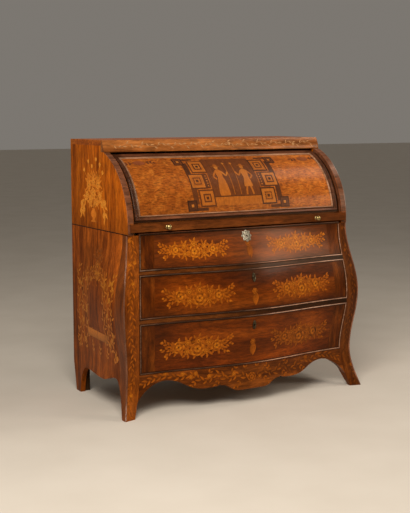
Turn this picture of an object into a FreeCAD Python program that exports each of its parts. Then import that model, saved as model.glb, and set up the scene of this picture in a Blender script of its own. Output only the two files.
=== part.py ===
"""Cylinder desk: a bombe chest of three drawers under a writing case closed by a quarter cylinder.

+Z is up, the front faces -Y, +X is to the right of someone standing in front of it, and the origin is
on the floor under the middle of the desk.  Lengths are in millimetres and angles in degrees.
"""
import FreeCAD, Part
import math
import os
import Sketcher

Vector = FreeCAD.Vector

SIZES = {
    # the case as a whole
    "half_width": "535", "case_depth": "530", "apron_height": "166",
    "side_wall": "26", "lower_wall": "22", "back_wall": "12", "board_wall": "17",
    "overrun": "40", "running_gap": "0.3", "reveal": "1",
    # levels of the swelling: the chest's top is the shoulder
    "belly_lift": "29", "ankle_lift": "6",
    # the outer corner of the front posts: how far it stands outside and before the upper case
    "corner_flare_shoulder": "2", "corner_flare_belly": "41", "corner_flare_ankle": "19",
    "corner_flare_foot": "49", "corner_out_shoulder": "-5", "corner_out_belly": "42",
    "corner_out_ankle": "18", "corner_out_foot": "66",
    # the canted faces of the front posts and their inner edges
    "stile_wide_shoulder": "46", "stile_wide_belly": "64", "stile_wide_ankle": "56",
    "stile_wide_foot": "48", "edge_out_shoulder": "9.5", "edge_out_belly": "50",
    "edge_out_ankle": "21", "edge_out_foot": "54", "post_back": "40",
    # the bow at the middle of the front
    "bow_shoulder": "19", "bow_belly": "96", "bow_ankle": "73", "bow_power_share": "0.65",
    # drawers and the rails between them, from the top down
    "drawer_lip": "8", "drawer_one_tall": "150", "upper_rail_tall": "12",
    "drawer_two_tall": "176", "lower_rail_tall": "15", "drawer_three_tall": "212",
    "front_wall": "22", "rail_depth": "22", "apron_wall": "26", "drawer_side_gap": "13",
    "drawer_wall": "12", "drawer_back_gap": "23", "drawer_headroom": "13", "drawer_rise": "2",
    "drawer_bottom_rise": "8", "drawer_bottom_wall": "8", "chest_top_headroom": "33",
    "bead_wide": "6", "bead_proud": "3", "runner_lap": "22", "runner_wall": "14",
    # locks and keyhole plates
    "key_one_drop": "34", "key_two_drop": "38", "key_three_drop": "44",
    "key_round": "3.4", "key_slot_wide": "3.2", "key_slot_drop": "9", "plate_wall": "1.6",
    "plate_half_wide": "8", "plate_half_tall": "19", "rosette_half_wide": "25",
    "rosette_half_tall": "26", "lock_half_wide": "32", "lock_tall": "64", "lock_depth": "20",
    "bolt_half_wide": "14", "bolt_thick": "6", "bolt_tall": "30", "bolt_cover": "3",
    # apron and feet
    "cusp_step": "5", "leg_back": "-36", "rear_foot_deep": "73", "rear_heel_taper": "26",
    "rear_heel_drop": "36", "rear_block_wide": "24", "rear_block_inset": "9",
    "rear_block_gap": "0.7", "lower_back_drop": "46",
    # the cylinder and the curve of the upper sides
    "axis_drop": "23", "side_radius": "313", "side_front": "-4",
    "shell_inset": "16", "shell_wall": "16", "shell_gap": "2", "shell_lift": "1.5",
    "shell_span_angle": "76", "swing_angle": "56", "frame_proud": "6", "frame_wide": "25",
    "frame_foot_tall": "28.5", "frame_head_drop": "28", "quadrant_wall": "12", "hub_radius": "26",
    "pivot_radius": "8", "pivot_clearance": "0.05", "pivot_seat": "18", "flange_radius": "20",
    "flange_wall": "2.5", "flange_gap": "0.7", "crank_wall": "5", "crank_half": "9",
    "crank_reach": "138", "crank_pin_radius": "5", "crank_pin_play": "1.3",
    "crank_pin_headroom": "2", "crank_pin_length": "24.5",
    # the fascia and top
    "crown": "10", "top_wall": "22", "fascia_tall": "48", "fascia_overhang": "4",
    "fascia_lean": "19", "fascia_wall": "26", "fascia_lip": "4", "fascia_hollow": "3",
    # the writing slide
    "slide_rise": "45", "slide_wall": "22", "slide_back_gap": "22",
    "slide_rail_front": "-14", "slide_rail_back": "8", "slide_rail_tall": "32.4",
    "slide_rail_end_gap": "10", "slide_rail_lap": "0.6", "leather_front": "40",
    "leather_margin": "42", "leather_back_gap": "10", "leather_wall": "1.5", "leather_inset": "0.2",
    "link_gap": "1.8", "plate_link_wall": "5", "plate_link_half": "16", "plate_link_foot": "7",
    "bearer_half_wide": "12", "bearer_inner": "150", "bearer_margin": "42",
    "knob_inset": "170", "knob_neck": "5", "knob_collar": "9", "knob_collar_wall": "3",
    "knob_neck_long": "9", "knob_radius": "11", "knob_long": "24",
    # pigeonholes and their small drawers
    "nest_lead": "9", "nest_lift": "3", "nest_shelf_rise": "67", "nest_tall": "151",
    "nest_gap": "2.8", "nest_wall": "8", "nest_bay_half": "160",
    "small_front_wall": "9", "small_wall": "6", "small_back_gap": "14",
    "small_knob_neck": "2.5", "small_knob_radius": "6", "small_knob_neck_long": "5",
    "small_knob_long": "12",
}

doc = FreeCAD.newDocument("cylinder_desk")
sheet = doc.addObject("Spreadsheet::Sheet", "Sizes")
for row, (alias, text) in enumerate(SIZES.items(), start=1):
    sheet.set(f"A{row}", text)
    sheet.setAlias(f"A{row}", alias)
doc.recompute()
size = {alias: float(sheet.get(alias)) for alias in SIZES}

# Depths are counted back from the front of the upper case; the desk is centred over the origin.
BACK = "( case_depth + bow_belly + bead_proud ) / 2"
FRONT = f"{BACK} - case_depth"
front_y = (size["bow_belly"] + size["bead_proud"] - size["case_depth"]) / 2
back_y = front_y + size["case_depth"]
axis_y = front_y + size["side_front"] + size["side_radius"]
AXIS = f"{FRONT} + side_front + side_radius"

# Heights are counted up from the apron: three drawers with two rails between them reach the
# seam between the chest and the writing case.
DRAWERS = ("three", "two", "one")
DRAWER_FLOOR = {"three": "apron_height"}
DRAWER_FLOOR["two"] = "apron_height + drawer_three_tall + lower_rail_tall"
DRAWER_FLOOR["one"] = f"{DRAWER_FLOOR['two']} + drawer_two_tall + upper_rail_tall"
DRAWER_TOP = {number: f"{DRAWER_FLOOR[number]} + drawer_{number}_tall" for number in DRAWERS}
drawer_floor = {"three": size["apron_height"]}
drawer_floor["two"] = size["apron_height"] + size["drawer_three_tall"] + size["lower_rail_tall"]
drawer_floor["one"] = drawer_floor["two"] + size["drawer_two_tall"] + size["upper_rail_tall"]
drawer_top = {number: drawer_floor[number] + size[f"drawer_{number}_tall"] for number in DRAWERS}
SEAM = f"{DRAWER_TOP['one']} - drawer_lip"
seam_height = drawer_top["one"] - size["drawer_lip"]
SLIDE_TOP = f"{SEAM} + slide_rise"
AXIS_HEIGHT = f"{SLIDE_TOP} - axis_drop"
TOP = f"{AXIS_HEIGHT} + side_radius + crown + top_wall"
axis_height = seam_height + size["slide_rise"] - size["axis_drop"]
top_height = axis_height + size["side_radius"] + size["crown"] + size["top_wall"]
belly_height = drawer_floor["two"] + size["belly_lift"]
ankle_height = drawer_floor["three"] + size["ankle_lift"]
CROSSWISE = FreeCAD.Rotation(Vector(0, -1, 0), Vector(0, 0, 1), Vector(-1, 0, 0), "ZXY")


def bound(words):
    """An expression over the sheet, from one written with the plain names of the sizes."""
    return " ".join("Sizes." + word if word in SIZES else word for word in words.split())


def named(item, label):
    item.Label = label
    return item


def board(label, x, y, z):
    """A straight board between two places along each axis."""
    item = named(doc.addObject("Part::Box", label), label)
    for axis, length, (low, high) in zip("xyz", ("Length", "Width", "Height"), (x, y, z)):
        item.setExpression(f"Placement.Base.{axis}", bound(low))
        item.setExpression(length, bound(f"{high} - ( {low} )"))
    return item


def mirrored_boards(label, low, high, y, z):
    """The right board of a pair, between two distances from the middle, and the left one."""
    right = board(label + "_right", (low, high), y, z)
    left = board(label + "_left", (f"-1 * ( {high} )", f"-1 * ( {low} )"), y, z)
    return [right, left]


def rod(label, radius, x, y, z, angle="360"):
    """A round bar or a sector of one along X; a sector starts at the front and sweeps up and back."""
    item = named(doc.addObject("Part::Cylinder", label), label)
    item.Placement = FreeCAD.Placement(Vector(), CROSSWISE)
    item.setExpression("Radius", bound(radius))
    item.setExpression("Height", bound(f"{x[1]} - ( {x[0]} )"))
    item.setExpression("Angle", bound(angle))
    for axis, place in zip("xyz", (x[1], y, z)):
        item.setExpression(f"Placement.Base.{axis}", bound(place))
    return item


def cut(label, base, *tools):
    for number, tool in enumerate(tools, start=1):
        item = doc.addObject("Part::Cut", f"{label}_cut_{number}")
        item.Base = base
        item.Tool = tool
        base = item
    return named(base, label)


def common(label, base, tool):
    item = named(doc.addObject("Part::Common", label), label)
    item.Base = base
    item.Tool = tool
    return item


def fused(label, items):
    item = named(doc.addObject("Part::MultiFuse", label), label)
    item.Shapes = items
    item.Refine = True
    return item


def group(label, items):
    item = named(doc.addObject("Part::Compound", label), label)
    item.Links = items
    return item


def shaped(label, shape):
    item = named(doc.addObject("Part::Feature", label), label)
    item.Shape = shape
    item.Placement = FreeCAD.Placement()
    return item


# The bowed and swelling front
LEVELS = ("shoulder", "belly", "ankle", "foot")


def ease(share):
    return (1 - math.cos(math.pi * share)) / 2


def swelling(height, values, power=1.0):
    """A size at one height, from its values at the shoulder, belly, ankle and floor."""
    shoulder, belly, ankle, foot = values
    if height >= belly_height:
        share = (seam_height - height) / (seam_height - belly_height)
        return shoulder + (belly - shoulder) * ease(max(share, 0) ** power)
    if height >= ankle_height:
        share = (belly_height - height) / (belly_height - ankle_height)
        return belly + (ankle - belly) * ease(share)
    share = 1 - height / ankle_height
    return ankle + (foot - ankle) * (1 - math.cos(math.pi / 2 * share))


def levels(name):
    return [size[f"{name}_{level}"] for level in LEVELS]


def corner_half(height):
    return size["half_width"] + swelling(height, levels("corner_flare"))


def corner_out(height):
    return swelling(height, levels("corner_out"))


def edge_half(height):
    return corner_half(height) - swelling(height, levels("stile_wide"))


def edge_out(height):
    return swelling(height, levels("edge_out"))


def bow_y(x, height):
    """The veneered front surface: a serpentine in plan that dies away at the posts."""
    bow_values = (size["bow_shoulder"], size["bow_belly"], size["bow_ankle"], size["bow_ankle"])
    middle = swelling(height, bow_values, size["bow_power_share"])
    ends = edge_out(height)
    share = min(abs(x) / edge_half(height), 1)
    return front_y - ends - (middle - ends) * ease(1 - share)


def spaced(low, high, count):
    return [low + (high - low) * step / count for step in range(count + 1)]


def surface(points):
    sheet_of_points = Part.BSplineSurface()
    sheet_of_points.interpolate(points)
    return sheet_of_points.toShape()


COLUMN_COUNT = 24
ROW_COUNT = 8


def skin(left, right, floor, top, lift, depth):
    """A slab that follows the front, lifted off it and so deep; left and right change with height."""
    points = []
    for height in spaced(floor, top, ROW_COUNT):
        places = spaced(left(height), right(height), COLUMN_COUNT)
        points.append([Vector(x, bow_y(x, height) - lift, height) for x in places])
    return surface(points).extrude(Vector(0, depth, 0))


def front_space(floor, top, wall):
    """All that lies before the back of a front of this thickness."""
    reach = size["half_width"] + size["overrun"]
    ahead = size["bow_belly"] + size["overrun"]
    low = floor - size["overrun"]
    high = top + size["overrun"]
    return skin(lambda height: -reach, lambda height: reach, low, high, ahead, ahead + wall)


# Curved outlines
ROUND_SHARE = 0.55
EAR_SHARE = 0.4
LEG_SHARES = (0.34, 0.31)
SIDE_SHARES = (0.14, 0.41, 0.73)
SIDE_RISE_SHARES = (0.85, 0.687, 0.729)
APRON_SHARES = (0.118, 0.301, 0.432, 0.785)
APRON_RISE_SHARES = (0.373, 0.581, 0.518, 0.807, 0.181)


def ogee(start, end, across):
    """A curve between two points that leaves and arrives along one direction."""
    half = across * ((end - start).dot(across) / 2)
    curve = Part.BezierCurve()
    curve.setPoles([start, start + half, end - half, end])
    return curve.toShape()


def quarter(start, end, across, share=ROUND_SHARE):
    """A quarter round, full or flatter, that leaves along one direction and arrives square to it."""
    run = across * (end - start).dot(across)
    rise = end - start - run
    curve = Part.BezierCurve()
    curve.setPoles([start, start + run * share, end - rise * share, end])
    return curve.toShape()


def outline(edges, direction):
    return Part.Face(Part.Wire(Part.__sortEdges__(edges))).extrude(direction)


def line(start, end):
    return Part.makeLine(start, end)


# Front posts with their splayed feet, and the bowed sides
def side_void():
    """The shaped space under both sides, from the front foot to the heel of the rear one."""
    def place(depth, height):
        return Vector(-size["half_width"] - size["overrun"] * 2, front_y + depth, height)

    backwards = Vector(0, 1, 0)
    under = -size["overrun"]
    leg = place(size["leg_back"], 0)
    peak_depth, dip_depth, back_peak_depth = (size["case_depth"] * share for share in SIDE_SHARES)
    peak_rise, dip_rise, back_peak_rise = (size["apron_height"] * share
                                           for share in SIDE_RISE_SHARES)
    peak = place(peak_depth, peak_rise)
    dip = place(dip_depth, dip_rise)
    back_peak = place(back_peak_depth, back_peak_rise)
    rear_foot_front = size["case_depth"] - size["rear_foot_deep"]
    heel_depth = size["case_depth"] - size["rear_heel_taper"]
    heel_height = size["apron_height"] - size["rear_heel_drop"]
    rear = place(rear_foot_front, 0)
    leg_curve = Part.BezierCurve()
    rise_share, run_share = LEG_SHARES
    leg_curve.setPoles([leg, leg + (peak - leg) * rise_share,
                        peak - backwards * (peak.y - leg.y) * run_share, peak])
    edges = [leg_curve.toShape(), ogee(peak, dip, backwards), ogee(dip, back_peak, backwards),
             quarter(back_peak, rear, backwards),
             line(rear, place(rear_foot_front, under)),
             line(place(rear_foot_front, under), place(size["leg_back"], under)),
             line(place(size["leg_back"], under), leg)]
    across = Vector(2 * size["half_width"] + size["overrun"] * 4, 0, 0)
    heel = [place(heel_depth, 0), place(size["case_depth"], heel_height),
            place(size["case_depth"] + size["overrun"], heel_height),
            place(size["case_depth"] + size["overrun"], under), place(heel_depth, under)]
    heel_edges = [line(a, b) for a, b in zip(heel, heel[1:] + heel[:1])]
    return outline(edges, across).fuse(outline(heel_edges, across))


POST_ROW_COUNT = 24


def post(hand):
    """A canted front post from the floor to the seam, square behind."""
    points = []
    for height in spaced(0, seam_height, POST_ROW_COUNT):
        inner = Vector(hand * edge_half(height), front_y - edge_out(height), height)
        outer = Vector(hand * corner_half(height), front_y - corner_out(height), height)
        points.append([inner + (outer - inner) * share for share in spaced(0, 1, 2)])
    reach = size["post_back"] + size["corner_out_foot"] + size["overrun"]
    length = surface(points).extrude(Vector(0, reach, 0))
    behind = Part.makeBox(2 * size["half_width"] + size["overrun"] * 4, reach + size["overrun"],
                          seam_height + size["overrun"] * 2,
                          Vector(-size["half_width"] - size["overrun"] * 2,
                                 front_y + size["post_back"], -size["overrun"]))
    return length.cut(behind)


def lower_side(hand):
    """A side board that swells out towards its post."""
    points = []
    run = size["case_depth"] - size["post_back"]
    for height in spaced(0, seam_height, POST_ROW_COUNT):
        row = []
        for share in spaced(0, 1, ROW_COUNT):
            swell = (corner_half(height) - size["half_width"]) * ease(share)
            row.append(Vector(hand * (size["half_width"] + swell), back_y - run * share, height))
        points.append(row)
    return surface(points).extrude(Vector(-hand * size["lower_wall"], 0, 0))


under_side = side_void()
for side_name, hand in (("left", -1), ("right", 1)):
    shaped(f"front_post_{side_name}", post(hand).cut(under_side))
    shaped(f"lower_side_{side_name}", lower_side(hand).cut(under_side))

INNER_HALF = "half_width - lower_wall"
REAR = f"{BACK} - back_wall"
group("rear_feet", mirrored_boards(
    "rear_foot", f"{INNER_HALF} - rear_block_wide", INNER_HALF,
    (f"{BACK} - rear_foot_deep + rear_block_inset", f"{BACK} - rear_heel_taper"),
    ("0", "apron_height + drawer_rise - running_gap - board_wall - rear_block_gap")))
board("lower_back", ("lower_wall - half_width", INNER_HALF), (REAR, BACK),
      ("apron_height - lower_back_drop", SEAM))


# Rails between the drawers, the apron and the boards of the chest
def beside(hand):
    """All that lies past the inner face of a post."""
    ahead = front_y - size["bow_belly"] - size["overrun"]
    points = []
    for height in spaced(0, seam_height, POST_ROW_COUNT):
        inner = Vector(hand * edge_half(height), ahead, height)
        points.append([inner, inner + Vector(hand * size["overrun"], 0, 0)])
    return surface(points).extrude(Vector(0, size["bow_belly"] + size["overrun"] * 3, 0))


def rail(floor, top, depth):
    """A strip of the front from post to post."""
    slab = skin(lambda height: -edge_half(height) - size["reveal"],
                lambda height: edge_half(height) + size["reveal"], floor, top, 0, depth)
    return slab.cut(beside(-1)).cut(beside(1))


def apron_outline():
    """The scalloped lower edge: pendant, cusp, lobe and the arch that runs down into each foot."""
    sideways = Vector(1, 0, 0)
    ahead = front_y - size["bow_belly"] - size["overrun"]
    depth = Vector(0, size["bow_belly"] + size["overrun"] * 3, 0)

    def place(x, height):
        return Vector(x, ahead, height)

    span = edge_half(ankle_height)
    pendant_half, cusp_half, lobe_half, arch_half = (span * share for share in APRON_SHARES)
    rises = (size["apron_height"] * share for share in APRON_RISE_SHARES)
    pendant_rise, cusp_rise, lobe_rise, arch_rise, ear_rise = rises
    pendant = place(pendant_half, pendant_rise)
    step = place(cusp_half - size["cusp_step"], cusp_rise - size["cusp_step"])
    cusp = place(cusp_half, cusp_rise)
    lobe = place(lobe_half, lobe_rise)
    arch = place(arch_half, arch_rise)
    ear = place(edge_half(ear_rise), ear_rise)
    outer = place(size["half_width"], ear_rise)
    top = place(size["half_width"], drawer_floor["three"])
    half_edges = [line(place(0, pendant_rise), pendant), ogee(pendant, step, sideways),
                  line(step, cusp), quarter(lobe, cusp, sideways), ogee(lobe, arch, sideways),
                  quarter(arch, ear, sideways, EAR_SHARE), line(ear, outer), line(outer, top),
                  line(top, place(0, drawer_floor["three"]))]
    other_half = [edge.mirror(Vector(), sideways) for edge in half_edges]
    return outline(half_edges + other_half, depth)


apron_slab = rail(0, drawer_floor["three"], size["apron_wall"])
shaped("apron", apron_slab.common(apron_outline()))

shaped("upper_drawer_rail", rail(drawer_top["two"], drawer_floor["one"], size["rail_depth"]))
shaped("lower_drawer_rail", rail(drawer_top["three"], drawer_floor["two"], size["rail_depth"]))

EDGE_TOP = "half_width + corner_flare_shoulder - stile_wide_shoulder"
RUN_HEIGHT = {number: f"{DRAWER_FLOOR[number]} + drawer_rise - running_gap" for number in DRAWERS}
FLOOR_TALL = (f"{RUN_HEIGHT['three']} - board_wall", RUN_HEIGHT["three"])
floor_boards = [
    board("bottom_rear", ("lower_wall - half_width", INNER_HALF), (f"{FRONT} + post_back", REAR),
          FLOOR_TALL),
    board("bottom_front", (f"-1 * ( {EDGE_TOP} )", EDGE_TOP),
          (f"{FRONT} - bow_belly", f"{FRONT} + post_back"), FLOOR_TALL)]
apron_space = shaped("apron_space", front_space(0, drawer_floor["three"], size["apron_wall"]))
cut("bottom_board", fused("bottom_boards", floor_boards), apron_space)

DRAWER_HALF = f"{EDGE_TOP} - drawer_side_gap"
RUNNER_LINES = (f"{FRONT} + post_back", REAR)
runners = []
for number in ("one", "two"):
    runners += mirrored_boards(f"runner_{number}", f"{DRAWER_HALF} - runner_lap",
                               f"{INNER_HALF} - reveal", RUNNER_LINES,
                               (f"{RUN_HEIGHT[number]} - runner_wall", RUN_HEIGHT[number]))
group("drawer_runners", runners)

# The link between cylinder and slide passes through two slots in the chest's top.
CASE_HALF = "half_width - side_wall"
CRANK_OUTER = f"{CASE_HALF} - flange_wall - flange_gap"
CRANK_INNER = f"{CRANK_OUTER} - crank_wall"
QUADRANT_INNER = f"{CRANK_INNER} - quadrant_wall"
SHELL_HALF = f"{CASE_HALF} - shell_gap"
SLIDE_HALF = f"{QUADRANT_INNER} - link_gap - plate_link_wall"
LINK_REACH = "( crank_reach * sin( swing_angle / 2 ) + plate_link_half + crank_pin_radius )"
chest_top = board("chest_top_board", ("lower_wall - half_width", INNER_HALF), RUNNER_LINES,
                  (f"{SEAM} - board_wall", SEAM))
link_slots = mirrored_boards("link_slot", f"{SLIDE_HALF} - reveal", CASE_HALF,
                             (f"{AXIS} - {LINK_REACH}", f"{AXIS} + {LINK_REACH}"),
                             (f"{SEAM} - overrun", f"{SEAM} + overrun"))
cut("chest_top", chest_top, *link_slots)

# The upper case: curved sides, back, fascia and top
TOP_FOOT = f"{TOP} - top_wall"
FULL_WIDTH = ("-1 * half_width", "half_width")
FASCIA_FOOT = f"{TOP} - fascia_tall"
FASCIA_RISE = "( side_radius + crown + top_wall - fascia_tall )"
FASCIA_FRONT = f"{AXIS} - sqrt( side_radius ^ 2 - {FASCIA_RISE} ^ 2 ) - fascia_overhang"
FASCIA_BACK = f"{FASCIA_FRONT} + fascia_wall"


def fascia_profile():
    """A hollow-fronted moulding that leans back, above the cylinder."""
    fascia_foot = top_height - size["fascia_tall"]
    on_curve = math.sqrt(size["side_radius"] ** 2 - (fascia_foot - axis_height) ** 2)
    fascia_y = axis_y - on_curve - size["fascia_overhang"]

    def place(depth, height):
        return Vector(-size["half_width"], fascia_y + depth, height)

    foot = place(0, fascia_foot)
    lip = place(0, fascia_foot + size["fascia_lip"])
    brow = place(size["fascia_lean"], top_height)
    top_back = place(size["fascia_wall"], top_height)
    foot_back = place(size["fascia_wall"], fascia_foot)
    inward = (brow - lip).cross(Vector(-1, 0, 0)).normalize()
    hollow = Part.Arc(lip, (lip + brow) / 2 + inward * size["fascia_hollow"], brow).toShape()
    edges = [line(foot, lip), hollow, line(brow, top_back), line(top_back, foot_back),
             line(foot_back, foot)]
    return outline(edges, Vector(2 * size["half_width"], 0, 0))


fascia = shaped("fascia", fascia_profile())
board("top_board", FULL_WIDTH, (FASCIA_BACK, BACK), (TOP_FOOT, TOP))
board("upper_back", (f"-1 * ( {CASE_HALF} )", CASE_HALF), (REAR, BACK), (SEAM, TOP_FOOT))

for side_name, low, high in (("left", "-1 * half_width", f"-1 * ( {CASE_HALF} )"),
                             ("right", CASE_HALF, "half_width")):
    label = f"upper_side_{side_name}"
    wall = (low, high)
    pieces = [
        board(label + "_foot", wall, (f"{FRONT} + side_front", BACK), (SEAM, AXIS_HEIGHT)),
        rod(label + "_round", "side_radius", wall, AXIS, AXIS_HEIGHT, "90"),
        board(label + "_rear", wall, (AXIS, BACK), (AXIS_HEIGHT, TOP_FOOT)),
        board(label + "_crown", wall, (FASCIA_BACK, AXIS), (AXIS_HEIGHT, TOP_FOOT))]
    seat = ((f"-1 * ( {CASE_HALF} + pivot_seat )", f"-1 * ( {CASE_HALF} )") if side_name == "left"
            else (CASE_HALF, f"{CASE_HALF} + pivot_seat"))
    bore = rod(label + "_bore", "pivot_radius + pivot_clearance", seat, AXIS, AXIS_HEIGHT)
    cut(label, fused(label + "_blank", pieces), bore, fascia)

# The cylinder turns on two pins in the sides; cranks on its ends reach down to the slide.
SHELL_RADIUS = "side_radius - shell_inset"
SHELL_FOOT = f"{SLIDE_TOP} + shell_lift"
FRAME_LOW = f"{SHELL_FOOT} + frame_foot_tall"
FRAME_HIGH = f"{FASCIA_FOOT} - frame_head_drop"
crank_outer = (size["half_width"] - size["side_wall"] - size["flange_wall"] - size["flange_gap"])
axis_line = (AXIS, AXIS_HEIGHT)


def handed(hand, low, high):
    return (low, high) if hand > 0 else (f"-1 * ( {high} )", f"-1 * ( {low} )")


pivots = []
for side_name, hand in (("left", -1), ("right", 1)):
    pin = rod(f"pin_{side_name}", "pivot_radius",
              handed(hand, f"{QUADRANT_INNER} + running_gap", f"{CASE_HALF} + pivot_seat"), *axis_line)
    flange = rod(f"flange_{side_name}", "flange_radius",
                 handed(hand, f"{CASE_HALF} - flange_wall", CASE_HALF), *axis_line)
    pivots.append(fused(f"pivot_{side_name}", [pin, flange]))
    wall = handed(hand, QUADRANT_INNER, CRANK_INNER)
    sector = rod(f"sector_{side_name}", f"{SHELL_RADIUS} - shell_wall", wall, *axis_line,
                 "shell_span_angle")
    hub = rod(f"hub_{side_name}", "hub_radius", wall, *axis_line)
    bore = rod(f"hub_bore_{side_name}", "pivot_radius + pivot_clearance", wall, *axis_line)
    cut(f"cylinder_quadrant_{side_name}", fused(f"quadrant_blank_{side_name}", [sector, hub]), bore)
group("cylinder_pivots", pivots)

shell_span = (f"-1 * ( {SHELL_HALF} )", SHELL_HALF)
below_shell = board("below_shell", FULL_WIDTH,
                    (f"{FRONT} - overrun", f"{AXIS} + overrun"), (f"{AXIS_HEIGHT} - overrun", SHELL_FOOT))
cut("cylinder_shell",
    rod("shell_outer", SHELL_RADIUS, shell_span, *axis_line, "shell_span_angle"),
    rod("shell_inner", f"{SHELL_RADIUS} - shell_wall", shell_span, *axis_line), below_shell)

frame_ring = cut("frame_ring",
                 rod("frame_outer", f"{SHELL_RADIUS} + frame_proud", shell_span, *axis_line,
                     "shell_span_angle"),
                 rod("frame_inner", SHELL_RADIUS, shell_span, *axis_line))
frame_depth = (f"{FRONT} - overrun", AXIS)
frame_strips = [
    common("frame_foot", frame_ring,
           board("frame_foot_space", shell_span, frame_depth, (SHELL_FOOT, FRAME_LOW))),
    common("frame_head", frame_ring,
           board("frame_head_space", shell_span, frame_depth, (FRAME_HIGH, TOP)))]
for side_name, hand in (("left", -1), ("right", 1)):
    strip_wide = handed(hand, f"{SHELL_HALF} - frame_wide", SHELL_HALF)
    space = board(f"frame_{side_name}_space", strip_wide, frame_depth, (FRAME_LOW, FRAME_HIGH))
    frame_strips.append(common(f"frame_{side_name}", frame_ring, space))
group("cylinder_moulding", frame_strips)


def crank(hand):
    """An iron bar that hangs from the pivot, leaning back, with the pin that drives the slide."""
    sideways = Vector(hand, 0, 0)
    pivot = Vector(hand * (crank_outer - size["crank_wall"]), axis_y, axis_height)
    end = pivot - Vector(0, 0, size["crank_reach"])
    corner = end + Vector(min(hand, 0) * size["crank_wall"], -size["crank_half"], 0)
    bar = Part.makeBox(size["crank_wall"], 2 * size["crank_half"], size["crank_reach"], corner)
    eye = Part.makeCylinder(size["hub_radius"], size["crank_wall"], pivot, sideways)
    tip = Part.makeCylinder(size["crank_half"], size["crank_wall"], end, sideways)
    pin = Part.makeCylinder(size["crank_pin_radius"], size["crank_pin_length"],
                            end + sideways * size["crank_wall"], -sideways)
    bore = Part.makeCylinder(size["pivot_radius"] + size["pivot_clearance"], size["crank_wall"],
                             pivot, sideways)
    whole = bar.fuse([eye, tip, pin]).removeSplitter().cut(bore)
    whole.rotate(pivot, Vector(1, 0, 0), size["swing_angle"] / 2)
    return shaped("crank_left" if hand < 0 else "crank_right", whole)


group("cylinder_cranks", [crank(-1), crank(1)])

# The writing slide with its leather, rail and knobs
SLIDE_WIDTH = (f"-1 * ( {SLIDE_HALF} )", SLIDE_HALF)
NEST_FRONT = f"{AXIS} - nest_lead"
LEATHER_HALF = f"{SLIDE_HALF} - leather_margin"
leather_span = (f"-1 * ( {LEATHER_HALF} )", LEATHER_HALF)
LEATHER_TALL = (f"{SLIDE_TOP} - leather_wall", SLIDE_TOP)
leather_depth = (f"{FRONT} + leather_front", f"{NEST_FRONT} - leather_back_gap")
slide_blank = board("slide_blank", SLIDE_WIDTH, (f"{FRONT} + slide_rail_back", f"{REAR} - slide_back_gap"),
                    (f"{SLIDE_TOP} - slide_wall", SLIDE_TOP))
cut("slide_board", slide_blank,
    board("leather_bed", leather_span, leather_depth, LEATHER_TALL))
board("writing_leather",
      (f"leather_inset - ( {LEATHER_HALF} )", f"{LEATHER_HALF} - leather_inset"),
      (f"{leather_depth[0]} + leather_inset", f"{leather_depth[1]} - leather_inset"), LEATHER_TALL)
RAIL_TALL = (f"{SLIDE_TOP} - slide_rail_tall", SLIDE_TOP)
RAIL_HALF = "half_width - slide_rail_end_gap"
fused("slide_rail", [
    board("rail_face", (f"-1 * ( {RAIL_HALF} )", RAIL_HALF),
          (f"{FRONT} + slide_rail_front", f"{FRONT} + side_front - slide_rail_lap"), RAIL_TALL),
    board("rail_body", shell_span,
          (f"{FRONT} + side_front - slide_rail_lap", f"{FRONT} + slide_rail_back"), RAIL_TALL)])

PIN_REST = f"{AXIS} + crank_reach * sin( swing_angle / 2 )"
PIN_LOW = f"{AXIS_HEIGHT} - crank_reach - crank_pin_radius - crank_pin_headroom"
PIN_HIGH = (f"{AXIS_HEIGHT} - crank_reach * cos( swing_angle / 2 ) + crank_pin_radius"
            " + crank_pin_headroom")
SLOT_HALF = "( crank_pin_radius + crank_pin_play )"
link_plates = []
for side_name, hand in (("left", -1), ("right", 1)):
    wall = handed(hand, SLIDE_HALF, f"{SLIDE_HALF} + plate_link_wall")
    plate = board(f"link_plate_{side_name}", wall,
                  (f"{PIN_REST} - plate_link_half", f"{PIN_REST} + plate_link_half"),
                  (f"{PIN_LOW} - plate_link_foot", SLIDE_TOP))
    slot = board(f"link_plate_slot_{side_name}", wall,
                 (f"{PIN_REST} - {SLOT_HALF}", f"{PIN_REST} + {SLOT_HALF}"), (PIN_LOW, PIN_HIGH))
    link_plates.append(cut(f"link_plate_cut_{side_name}", plate, slot))
group("slide_link_plates", link_plates)

bearers = []
for name, place in (("inner_bearer", "bearer_inner"), ("outer_bearer", f"{SLIDE_HALF} - bearer_margin")):
    bearers += mirrored_boards(name, f"{place} - bearer_half_wide", f"{place} + bearer_half_wide",
                               RUNNER_LINES,
                               (SEAM, f"{SLIDE_TOP} - slide_wall - running_gap"))
group("slide_bearers", bearers)


def turned(label, corners, place):
    """A turned knob that stands forward from a place; corners are radius and distance out."""
    body = named(doc.addObject("PartDesign::Body", label), label)
    sketch = body.newObject("Sketcher::SketchObject", label + "_profile")
    plane = next(item for item in body.Origin.OriginFeatures if item.Role == "XY_Plane")
    sketch.AttachmentSupport = (plane, "")
    sketch.MapMode = "FlatFace"
    rough = [Vector(index, index * index, 0) for index in range(len(corners))]
    for start, end in zip(rough, rough[1:] + rough[:1]):
        sketch.addGeometry(Part.LineSegment(start, end), False)
    count = len(corners)
    for index, (radius, out) in enumerate(corners):
        sketch.addConstraint(Sketcher.Constraint("Coincident", index - 1 if index else count - 1, 2,
                                                 index, 1))
        for kind, words in (("DistanceX", radius), ("DistanceY", out)):
            number = sketch.addConstraint(Sketcher.Constraint(kind, -1, 1, index, 1, index + 1.0))
            sketch.setExpression(f"Constraints[{number}]", bound(words))
    turn = body.newObject("PartDesign::Revolution", label + "_turn")
    turn.Profile = sketch
    turn.ReferenceAxis = (sketch, ["V_Axis"])
    turn.Angle = 360
    body.Placement.Rotation = FreeCAD.Rotation(Vector(0, 0, 1), 180)
    for axis, words in zip("xyz", place):
        body.setExpression(f"Placement.Base.{axis}", bound(words))
    return body


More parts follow.
